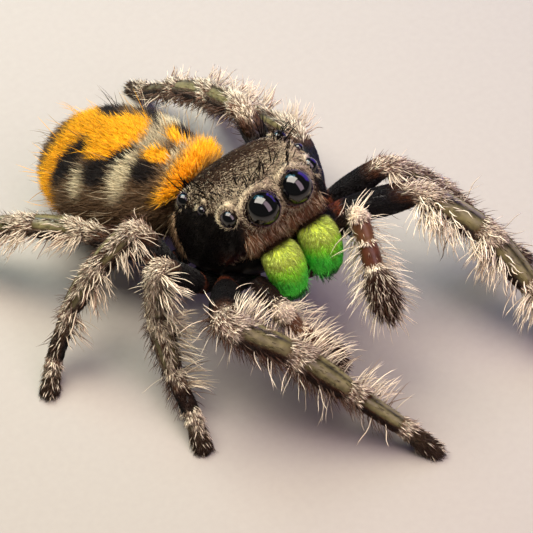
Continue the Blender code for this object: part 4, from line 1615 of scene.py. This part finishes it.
def red_marks(reach: Array, turn: Array, place: Array) -> Array:
    """Dark red-brown, paler towards the end."""
    return stack_marks(0.0 * reach, 0.5 * fade(reach, 0.7, 1.0), 0.2, 0.8 + 0.0 * turn)


def jaw_marks(reach: Array, turn: Array, place: Array) -> Array:
    """How far the jaw's colour has gone from gold-green through green to black.

    It follows the drop below the face, and goes faster down both sides, most
    of all towards the midline. Its last step to black at the lower end is painted shade.

    Args:
        reach, turn, place: share of the length, degrees round the ring, and places.

    Returns:
        How far the colour has gone, the brown painted shade of the root, and two empty channels.
    """
    sideways, back, level = BODY.offset(place)
    inward = CHELICERA_SIDEWAYS - np.abs(sideways)
    flank = np.maximum(3.0 * inward, -2.2 * inward) * fade(-level, 0.27, 0.40)
    # Colour goes on with the drop; the last step to black at the lower end is painted shade
    drop = np.minimum((-level - 0.24) / 0.28 + flank, 0.78) + fade(-level, 0.475, 0.53)
    # Brown painted shade over the jaw's upper back, where the moustache hangs over it
    root = 1.0 - fade(-level - 0.32 * back, 0.212, 0.242)
    return stack_marks(drop + 0.0 * reach, root, 0.0, 0.0 * turn)


def tube(name: str, line: Array, radius: Array, marker: Marker, finish: int, columns: int = 20) -> Form:
    """A straight tube of round rings about a line.

    Args:
        name: what it is.
        line, radius: the rings' centres and radii.
        marker: gives the marks.
        finish: number of the skin's finish.
        columns: points round a ring.

    Returns:
        The tube.
    """
    axis = unit(line[-1] - line[0])
    side = unit(np.cross(axis, UPRIGHT))
    lift = np.cross(side, axis)
    turn, angle = ring_turns(columns)
    ring = side * np.sin(angle[..., None]) + lift * np.cos(angle[..., None])
    points = line[:, None] + ring * radius[:, None, None]
    return Form(name, points, np.linspace(0.0, 1.0, len(line)), turn, marker, finish)


@dataclass
class Limb:
    """A jointed limb: one seamless tube along its joints.

    Attributes:
        name: as in the names of its solids.
        side: which side of the body it is on.
        joints: from root to tip.
        shapes: radius along each segment.
        waists: how much it narrows at each joint between segments.
        thickness: factor on the radius.
        marker: gives the marks.
        rows, columns: rings a segment, and points round each.
        levelling: how far the upper side is drawn upright at each joint.
        grown: the share of its hair that the limb has.
    """

    name: str
    side: Side
    joints: Array
    shapes: Sequence
    waists: Sequence[float]
    thickness: float
    marker: Marker
    rows: int = 26
    columns: int = 24
    levelling: float = 0.65
    grown: float = 1.0

    def __post_init__(self) -> None:
        """Work out the tube once."""
        self.skin = self.form()

    def lifts(self) -> Array:
        """Upper side of each segment, turned on from segment to segment.

        It starts upright at the root. At each joint it is turned by the least
        rotation that takes one axis to the next, and drawn upright again.

        Returns:
            A unit vector for each segment.
        """
        axes = unit(np.diff(self.joints, axis=0))
        lift = unit(UPRIGHT - axes[0] * axes[0][2])
        lifts = [lift]
        for before, after in zip(axes, axes[1:]):
            hinge = np.cross(before, after)
            cosine = float(before @ after)
            lift = lift + np.cross(hinge, lift) + np.cross(hinge, np.cross(hinge, lift)) / (1.0 + cosine)
            level = unit(UPRIGHT - after * after[2])
            if abs(after[2]) < 0.8:
                lift = unit((1.0 - self.levelling) * lift + self.levelling * level)
            lift = unit(lift - after * (lift @ after))
            lifts.append(lift)
        return np.array(lifts)

    def form(self) -> Form:
        """The tube: round rings about the smoothed line through the joints.

        Returns:
            The form, whose reach counts segments from the root.
        """
        count = len(self.joints) - 1
        reach = np.linspace(0.0, count, count * self.rows + 1)
        segment = np.minimum(reach.astype(int), count - 1)
        share = reach - segment
        ahead = self.joints[segment + 1] - self.joints[segment]
        line = blur(self.joints[segment] + ahead * share[:, None], 1.6)
        lift = blur(self.lifts()[segment], 2.5)
        axis = unit(np.gradient(line, axis=0))
        lift = unit(lift - axis * np.sum(lift * axis, axis=1, keepdims=True))
        side = np.cross(axis, lift)
        radius = np.zeros(len(reach))
        for index, stations in enumerate(self.shapes):
            places, sizes = np.array(stations).T
            radius = np.where(segment == index, np.interp(share, places, sizes), radius)
        radius = np.maximum(blur(radius, 2.0) * self.thickness * CARAPACE, LEG_MINIMUM)
        for index, waist in enumerate(self.waists):
            radius = radius * (1.0 - waist * bump(reach, index + 1.0, 0.07))
        radius = radius - SKIN_DEPTH * CARAPACE
        radius[-3:] *= (0.92, 0.75, 0.45)
        turn, angle = ring_turns(self.columns)
        angle = angle[..., None] * self.side.value
        ring = side[:, None] * np.sin(angle) + lift[:, None] * np.cos(angle)
        points = line[:, None] + ring * radius[:, None, None]
        return Form(self.name, points, reach, turn, self.marker, 1)

    def grow(
        self, coat: Coat, count: int, density: Density, hair: Hair, marks: Marks | None, plain: float | None
    ) -> None:
        """Grow one kind of hair along the limb.

        Args:
            coat: the limb's coat.
            count: how many on a limb with all its hair.
            density: where.
            hair: the kind.
            marks: their marks, or None to take the skin's.
            plain: the share that is brown instead of pale, if any.
        """
        roots = self.skin.scatter(coat.rng, int(count * self.grown), density)
        if marks is not None:
            roots.paint(marks)
        if plain is not None:
            roots.marks[:, 1] *= np.where(coat.rng.random(len(roots.place)) < plain, 0.22, 1.0)
        coat.grow(roots, hair, roots.along)


def leg_marks(reach: Array, turn: Array, place: Array, haired: float = 0.0) -> Array:
    """Marks on a leg.

    The orange channel holds the bare olive stripes, one each side of the top,
    which meet over the far half of each segment. Pale stands for the cream
    base and ends of the segments, dark for the bars beside the stripes, red
    for the joints. On a haired leg, as all but the first pair are, the stripes
    are thin lines between flat tan hair, the ankle is half dark, a dark ring
    ends each segment, and the foot is streaked.

    Args:
        reach, turn: segments along the leg, and degrees round from its upper side.
        place: places, in metres.
        haired: how far flat hair covers the stripes.

    Returns:
        The four marks.
    """
    share, side = reach % 1.0, np.abs(turn)
    long_part = fade(reach, PATELLA - 0.10, PATELLA + 0.05) * (1.0 - fade(reach, TARSUS - 0.10, TARSUS))
    ankle = haired * fade(reach, METATARSUS - 0.04, METATARSUS + 0.04)
    ankle = ankle * (1.0 - fade(reach, TARSUS - 0.06, TARSUS))
    foot = fade(reach, TARSUS + 0.04, TARSUS + 0.14) * (1.0 - fade(reach, TOE - 0.20, TOE - 0.05))
    instep = haired * bump(reach, TARSUS + 0.24, 0.17)
    middle = fade(share, 0.04 + 0.05 * haired, 0.27 + 0.08 * haired) * (1.0 - fade(share, 0.82, 0.98))
    mottle = 0.72 + 0.45 * fade(clumps(place, 0.11), 0.25, 0.65)
    # Bare stripes each side of the top
    gap = side - 36.0
    gap = np.maximum(gap, -gap * (1.0 - (1.0 - haired) * fade(share, 0.20, 0.42)))
    stripe = 1.0 - fade(gap, 15.0 - 11.0 * haired, 34.0 - 18.0 * haired)
    stripe = stripe * long_part * middle * mottle * (1.0 - ankle)
    # Cream ends, bases, crest, flat hair and instep
    ends = bump(share, 0.93, 0.05) + bump(share, 0.04, 0.05)
    ends = ends * (1.0 - fade(reach, TARSUS + 0.1, TARSUS + 0.2))
    base = (1.0 - fade(share, 0.10, 0.26 + 0.07 * haired)) * long_part
    base = base * (1.0 - fade(reach, METATARSUS, METATARSUS + 0.1))
    crest = bump(side, 0.0, 24.0) * fade(reach, PATELLA - 0.30, PATELLA - 0.10)
    crest = crest * (1.0 - fade(reach, PATELLA + 0.35, PATELLA + 0.70))
    flat = haired * (1.0 - fade(side, 60.0, 84.0)) * fade(clumps(place, 0.07), 0.30, 0.60)
    ring = haired * bump(share, 0.95, 0.07) * long_part
    streaks = (0.4 + 0.6 * haired) * fade(clumps(place, 0.05), 0.47, 0.66)
    pale = 0.85 * ends * fade(reach, PATELLA - 0.28, PATELLA - 0.05) + 1.10 * base + 0.7 * crest
    pale = pale + 0.55 * flat * long_part * (1.0 - ankle * fade(share, 0.30, 0.52))
    pale = pale + 0.55 * instep * (1.0 - fade(side, 80.0, 130.0))
    pale = pale * (1.0 - 0.9 * ring) + 0.28 * foot * streaks
    # Bars beside the stripes, coxa and femur partly with painted shade, underside, half ankle, foot and
    # rings, and painted sheen on the stripes' tops
    dark = 0.8 * bump(side, 86.0, 24.0) * (1.0 - base) + 0.8 * fade(reach, TOE - 0.20, TOE - 0.03)
    # Coxa and femur are dark partly in their own colour and partly as painted shade from the body over them
    dark = dark + 1.1 * (1.0 - fade(reach, PATELLA - 0.48, PATELLA - 0.08)) + 0.5 * fade(side, 90.0, 140.0)
    dark = dark * (1.0 - 0.7 * flat * long_part) + 0.75 * ankle * fade(share, 0.34, 0.56)
    dark = dark * (1.0 - ends) * (1.0 - crest) * (1.0 - 0.6 * foot)
    dark = dark + 0.42 * foot * (1.0 - instep) * (1.0 - 0.8 * streaks) + 0.9 * ring
    # A darker line along the top of each stripe is painted sheen
    dark = dark * (1.0 - stripe) + 0.8 * stripe * bump(turn, 0.0, 11.0)
    red = bump(share, 0.0, 0.07) + bump(share, 1.0, 0.07) + 0.15 * base
    return stack_marks(stripe + 0.25 * foot, pale * (1.0 - stripe), dark, 0.8 * red)


def palp_marks(reach: Array, turn: Array, place: Array) -> Array:
    """Marks on a palp: a white knee, a brown middle and a grey-brown tip.

    Args:
        reach, turn: segments along the palp, and degrees round from its upper side.
        place: places, in metres.

    Returns:
        The four marks.
    """
    knee = bump(reach, 1.0, 0.14)
    joint = bump(reach, 2.0, 0.10) + bump(reach, 3.0, 0.10)
    middle = fade(reach, 1.05, 1.2) * (1.0 - fade(reach, 2.9, 3.1))
    end = fade(reach, 3.55, 3.9)
    dark = 0.75 * (1.0 - fade(reach, 0.75, 0.95)) + 0.35 * fade(reach, 3.05, 3.25) * (1.0 - end)
    pale = knee + joint + 0.55 * middle * (1.0 - 0.6 * fade(reach, 1.9, 2.1)) + 0.10 * end
    return stack_marks(0.6 * end, pale, dark, 0.35 * middle + 0.0 * turn)


@dataclass
class Leg(Limb):
    """A leg and its coat.

    Attributes:
        pair: 1 for the first legs, 4 for the last.
    """

    pair: int = 1

    @classmethod
    def standing(cls, side: Side, pair: int) -> "Leg":
        """A leg from its coxa's root to the foot on the floor.

        Metatarsus and tarsus fall as steeply as they need: first to the ankle's
        height, then to the floor.

        Args:
            side: left or right.
            pair: 1 for the first legs, 4 for the last.

        Returns:
            The leg.
        """
        (sideways, back, up), thickness, lengths = LEG_PAIRS[pair]
        inner = max(sideways - 0.20, 0.0) + 0.02
        joints = [
            BODY.head(side.value * inner, back, up - 0.035),
            BODY.head(side.value * sideways, back, up),
        ]
        pose = LEG_POSES[(side.word, pair)]
        for (swing, rise), length in zip(pose[:3], lengths):
            joints.append(joints[-1] + heading(swing, rise) * length * CARAPACE)
        ankle = ANKLE_HEIGHT_SHARE * lengths[4] * CARAPACE
        for swing, share, level in zip(pose[3:], lengths[3:], (ankle, 0.0)):
            length = share * CARAPACE
            fall = math.degrees(math.asin((joints[-1][2] - level) / length))
            joints.append(joints[-1] + heading(swing, -fall) * length)
        name = f"leg_{side.word}_{pair}"
        haired = partial(leg_marks, haired=HAIRED_LEGS[pair])
        joints = np.array(joints)
        grown = 1.0 if (side.word, pair) in FULL_LEGS else 0.70
        return cls(name, side, joints, LEG_SHAPES, LEG_WAISTS, thickness, haired, grown=grown, pair=pair)

    def coat(self) -> None:
        """Short scales, joint tufts and fringes along the leg."""
        coat = Coat(f"coat_{self.name}", LEG_HAIR, 40 + 2 * self.pair + (self.side is Side.LEFT))
        fringe, longer = (1.0, 1.0) if self.pair == 1 else (0.62, 0.82)

        def short(reach: Array, turn: Array, place: Array) -> Array:
            """All round but for the bare stripes.

            Args:
                reach, turn, place: segments, degrees and places.

            Returns:
                The weights.
            """
            stripe = self.marker(reach, turn, place)[..., 0]
            stripe = stripe * (1.0 - fade(reach, TARSUS - 0.02, TARSUS + 0.04))
            thick = (0.6 + 0.4 * fade(reach, 0.5, 1.0)) * (0.45 + 1.1 * fade(clumps(place, 0.16), 0.3, 0.7))
            return thick * (1.0 - 0.97 * fade(stripe, 0.15, 0.60)) + BARE

        def front(reach: Array, turn: Array, place: Array) -> Array:
            """The long segments' front side, thickest at their bases."""
            along = fade(reach, PATELLA - 0.03, PATELLA + 0.03) * (1.0 - fade(reach, 4.2, 4.8))
            return bump(turn, 80.0, 26.0) * along * (0.22 + 1.0 - fade(reach % 1.0, 0.25, 0.70)) + BARE

        def rear(reach: Array, turn: Array, place: Array) -> Array:
            """The long segments' rear and lower side."""
            along = fade(reach, 1.5, 2.1) * (1.0 - fade(reach, 4.3, 4.9))
            return (bump(turn, -118.0, 26.0) + 0.8 * bump(np.abs(turn), 175.0, 30.0)) * along + BARE

        def knots(reach: Array, turn: Array, place: Array) -> Array:
            """Close to both ends of each segment from the femur on.

            Args:
                reach, turn, place: segments, degrees and places.

            Returns:
                The weights.
            """
            share = reach % 1.0
            along = fade(reach, PATELLA - 0.26, PATELLA - 0.10)
            along = along * (1.0 - fade(reach, TARSUS + 0.10, TARSUS + 0.15))
            return (bump(share, 0.93, 0.04) + 0.9 * bump(share, 0.07, 0.04)) * along + BARE

        def crest(reach: Array, turn: Array, place: Array) -> Array:
            """The upper edge from the femur's end to the tibia."""
            return self.marker(reach, turn, place)[..., 1] * bump(turn, 8.0, 34.0) + BARE

        def pad(reach: Array, turn: Array, place: Array) -> Array:
            """The foot's end and underside."""
            return fade(reach, TARSUS + 0.1, TOE - 0.2) * (0.35 + fade(np.abs(turn), 60.0, 120.0)) + BARE

        white = WHITE if self.grown == 1.0 else BLURRED_WHITE
        combed = Hair(
            0.82 * longer, 0.044, lean=74.0, bend=0.35, stray=16.0, curl=50.0, wave=24.0, rings=4, uneven=0.35
        )
        under = Hair(
            0.46 * longer, 0.026, lean=48.0, bend=0.4, stray=18.0, curl=35.0, wave=8.0, rings=2, uneven=0.4
        )
        loose = Hair(
            0.85 * longer, 0.036, lean=66.0, bend=0.3, stray=25.0, curl=60.0, wave=30.0, rings=5, uneven=0.3
        )
        ridge = Hair(0.26, 0.030, lean=36.0, bend=0.4, stray=22.0, curl=25.0, rings=1)
        knot = Hair(0.21, 0.040, lean=28.0, bend=0.3, stray=24.0, curl=15.0, rings=1)
        tuft = Hair(0.28, 0.028, lean=34.0, bend=0.3, stray=18.0, curl=15.0, rings=1)
        grow = partial(self.grow, coat)
        grow(18500, short, Hair(0.150, 0.026, lean=13.0, stray=12.0), None, 0.34)
        grow(800, crest, ridge, CREAM, 0.40)
        grow(round(330 * fringe), front, combed, white, 0.10)
        grow(620, rear, under, DUSKY, 0.5)
        grow(round(40 * fringe), rear, loose, white, 0.0)
        grow(640, knots, knot, white, 0.42)
        grow(1100, pad, Hair(0.22, 0.026, lean=22.0, bend=0.2, stray=14.0), SOOTY, 0.5)
        grow(70, pad, tuft, CREAM, 0.3)
        coat.build("leg")


@dataclass
class Palp(Limb):
    """A palp and its coat."""

    @classmethod
    def hanging(cls, side: Side) -> "Palp":
        """A palp from beside the jaws to its blunt tip.

        Args:
            side: left or right.

        Returns:
            The palp.
        """
        joints = [BODY.head(side.value * PALP_HIP[0], PALP_HIP[1], PALP_HIP[2])]
        for (swing, rise), length in zip(PALP_POSES[side.word], PALP_LENGTHS):
            joints.append(joints[-1] + heading(swing, rise) * length * CARAPACE)
        return cls(f"palp_{side.word}", side, np.array(joints), PALP_SHAPES, PALP_WAISTS, 1.0, palp_marks)

    def coat(self) -> None:
        """White hair on the palp's knee and long pale hair over its tip."""
        coat = Coat(f"coat_{self.name}", LEG_HAIR, 70 + (self.side is Side.LEFT))

        def short(reach: Array, turn: Array, place: Array) -> Array:
            """Thick on knee and tip, thin on the shiny middle."""
            bare = fade(reach, 1.10, 1.25) * (1.0 - fade(reach, 2.80, 2.95))
            return (0.35 + 1.2 * bump(reach, 1.0, 0.12) + 1.2 * fade(reach, 2.8, 3.2)) * (1.0 - 0.95 * bare)

        def cap(reach: Array, turn: Array, place: Array) -> Array:
            """The knee's upper side and the next two joints."""
            joints = bump(reach, 1.04, 0.14) + 0.5 * bump(reach, 2.02, 0.06) + 0.4 * bump(reach, 3.02, 0.06)
            return bump(np.abs(turn), 0.0, 70.0) * joints + BARE

        def long(reach: Array, turn: Array, place: Array) -> Array:
            """Front, back and under sides, towards the tip."""
            return fade(np.abs(turn), 40.0, 90.0) * (0.3 + fade(reach, 0.8, 1.6)) + BARE

        def tip(reach: Array, turn: Array, place: Array) -> Array:
            """The last segment."""
            return fade(reach, 2.9, 3.3) + 0.0 * turn + BARE

        knee = Hair(0.16, 0.036, lean=34.0, bend=0.3, stray=24.0, curl=15.0, rings=1)
        plume = Hair(0.72, 0.032, lean=66.0, bend=0.45, stray=16.0, curl=40.0, wave=14.0, rings=4, uneven=0.4)
        bush = Hair(0.36, 0.030, lean=32.0, bend=0.5, stray=14.0, curl=25.0, rings=1, uneven=0.4)
        self.grow(coat, 9000, short, Hair(0.15, 0.022, lean=20.0, stray=14.0), None, None)
        self.grow(coat, 400, cap, knee, WHITE, None)
        self.grow(coat, 360, long, plume, WHITE, None)
        roots = self.skin.scatter(coat.rng, 1100, tip)
        roots.paint(DARK)
        roots.marks[coat.rng.random(len(roots.place)) < 0.30] = GREY
        coat.grow(roots, bush, roots.along)
        coat.build("leg")


@dataclass
class Spider:
    """The whole animal: head, abdomen and limbs under one skin, with claws."""

    head: Head = field(default_factory=Head)
    abdomen: Abdomen = field(default_factory=Abdomen)

    def __post_init__(self) -> None:
        """Pose every limb once."""
        self.legs = [Leg.standing(Side[side.upper()], pair) for side, pair in LEG_POSES]
        self.palps = [Palp.hanging(side) for side in Side]

    def skin(self) -> None:
        """Join all forms of flesh into one skin."""
        head, abdomen = self.head, self.abdomen
        forms = [head.shield, head.sternum(), abdomen.skin, abdomen.stalk(), head.flank()]
        forms += abdomen.spinnerets() + head.mouth()
        forms += [limb.skin for limb in (*self.legs, *self.palps)]
        points, faces, marks, finish, start = [], [], [], [], 0
        for form in forms:
            vertices, triangles = form.triangles()
            reach, turn = (grid.ravel() for grid in form.grids())
            reach = np.append(reach, (form.reach[0], form.reach[-1]))
            turn = np.append(turn, (0.0, 0.0))
            points.append(vertices)
            faces.append(triangles + start)
            marks.append(form.marker(reach, turn, vertices))
            finish.append(np.full(len(triangles), form.finish))
            start += len(vertices)
        mesh = new_mesh("skin", np.concatenate(points), np.concatenate(faces), np.concatenate(marks))
        piece = new_piece("skin", mesh, [HEAD_CUTICLE, LEG_CUTICLE, ABDOMEN_SKIN])
        mesh.polygons.foreach_set("material_index", np.concatenate(finish).astype(np.int32))
        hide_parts("carapace", "sternum", "waist", "abdomen", "spinnerets")
        for side, pair in LEG_POSES:
            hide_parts(*(f"leg_{side}_{pair}_{part}" for part in ("femur", "tibia", "foot")))
        for side in Side:
            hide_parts(f"palp_{side.word}_femur", f"palp_{side.word}_tip")

    def claws(self) -> None:
        """Two small curved claws at the end of every foot."""
        coat = Coat("claws", CLAW, 90)
        hook = Hair(0.24, 0.055, lean=34.0, bend=2.2, stray=2.0, rings=4, uneven=0.0)
        none = np.zeros((1, 4))
        for leg in self.legs:
            rings = leg.skin.points.mean(axis=1)
            tip, axis = rings[-3], rings[-1] - rings[-6]
            level = unit(axis * [1.0, 1.0, 0.0])
            side = np.cross(UPRIGHT, level)
            for sign in (-1.0, 1.0):
                place = tip + (side * sign * 0.05 + UPRIGHT * 0.10) * MM
                roots = Roots(place[None], UPRIGHT[None], level[None], none[:, 0], none, none[:, :2])
                coat.grow(roots, hook, level + side * sign * 0.15)
        coat.build("leg")

    def build(self) -> None:
        """Build every piece in order."""
        self.skin()
        self.head.lenses()
        self.head.jaws()
        self.head.coat()
        self.abdomen.coat()
        for limb in (*self.legs, *self.palps):
            limb.coat()
        self.claws()


@dataclass
class Studio:
    """Pale floor, soft lights and the camera at the photograph's angle.

    Attributes:
        elevation, azimuth: where the camera stands, in degrees.
        distance: how far from the eyes, in carapace lengths.
        frame_shift: the eyes' place right and up of the middle, in carapace lengths.
        lens: in millimetres.
        floor_half: half the floor's side, in millimetres.
        light_distance: how far the lights are, in carapace lengths.
        dome, dome_strength: colour and strength of the light from all round.
    """

    elevation: float = 50.0
    azimuth: float = -36.0
    distance: float = 15.0
    frame_shift: tuple[float, float] = (0.0744, 0.346)
    lens: float = 197.6
    floor_half: float = 400.0
    light_distance: float = 12.0
    dome: str = "#d4d2d0"
    dome_strength: float = 0.16

    def axes(self) -> tuple[Array, Array, Array]:
        """The camera's axes.

        Returns:
            Its right, up and back directions.
        """
        a, e = math.radians(self.azimuth), math.radians(self.elevation)
        back = np.array([math.sin(a) * math.cos(e), -math.cos(a) * math.cos(e), math.sin(e)])
        right = unit(np.cross(UPRIGHT, back))
        return right, np.cross(back, right), back

    def camera(self) -> None:
        """Camera on the line that the photograph was taken along."""
        right, up, back = self.axes()
        aim = BODY.eyes - (right * self.frame_shift[0] + up * self.frame_shift[1]) * CARAPACE
        place = aim + back * self.distance * CARAPACE
        data = bpy.data.cameras.new("camera")
        data.lens, data.sensor_width = self.lens, 36.0
        data.clip_start, data.clip_end = 1.0 * MM, 2.0
        item = bpy.data.objects.new("camera", data)
        turn = Matrix(np.stack([right, up, back], 1).tolist()).to_4x4()
        item.matrix_world = Matrix.Translation(place.tolist()) @ turn
        bpy.context.scene.collection.objects.link(item)
        bpy.context.scene.camera = item

    def strip(self, name: str, ends: tuple[Array, Array], width: float, power: float, colour: str) -> None:
        """Long soft light between two directions, facing the eyes.

        Args:
            name: the light's name.
            ends: the directions of its two ends, seen from the eyes.
            width, power: in millimetres and watts.
            colour: as a hex word.
        """
        reach = self.light_distance * CARAPACE
        first, last = (unit(end) * reach for end in ends)
        middle, span = (first + last) * 0.5, last - first
        towards, along = unit(middle), unit(span)
        along = unit(along - towards * (along @ towards))
        data = bpy.data.lights.new(name, "AREA")
        data.shape = "RECTANGLE"
        data.energy, data.size, data.size_y = power, float(np.linalg.norm(span)), width * MM
        data.color = to_linear(colour)[:3]
        item = bpy.data.objects.new(name, data)
        turn = Matrix(np.stack([along, np.cross(towards, along), towards], 1).tolist()).to_4x4()
        item.matrix_world = Matrix.Translation((BODY.eyes + middle).tolist()) @ turn
        bpy.context.scene.collection.objects.link(item)
        item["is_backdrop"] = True

    def floor(self) -> None:
        """A wide pale sheet of paper, as one square."""
        half = self.floor_half * MM
        corners = [(-half, -half, 0), (half, -half, 0), (half, half, 0), (-half, half, 0)]
        mesh = bpy.data.meshes.new("floor")
        mesh.from_pydata(corners, [], [(0, 1, 2, 3)])
        mesh.materials.append(PAPER.build())
        item = bpy.data.objects.new("floor", mesh)
        bpy.context.scene.collection.objects.link(item)
        item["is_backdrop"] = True

    def build(self) -> None:
        """Set the stage."""
        self.floor()
        self.camera()
        for name, *ends, width, power, colour in LIGHTS:
            first, last = (sum(axis * part for axis, part in zip(self.axes(), end)) for end in ends)
            self.strip(name, (first, last), width, power, colour)
        world = bpy.data.worlds.new("studio")
        world.use_nodes = True
        shade = world.node_tree.nodes["Background"]
        shade.inputs["Color"].default_value = to_linear(self.dome)
        shade.inputs["Strength"].default_value = self.dome_strength
        bpy.context.scene.world = world
        bpy.context.scene.view_settings.view_transform = "Standard"


def main() -> None:
    """Build the spider and its stage, and log the number of faces shown."""
    logging.basicConfig(level=logging.INFO, format="%(message)s")
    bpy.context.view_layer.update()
    Spider().build()
    Studio().build()
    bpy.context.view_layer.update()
    total = sum(len(piece.data.polygons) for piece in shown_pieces() if piece.type == "MESH")
    log.info("%d faces in all", total)


if __name__ == "__main__":
    main()
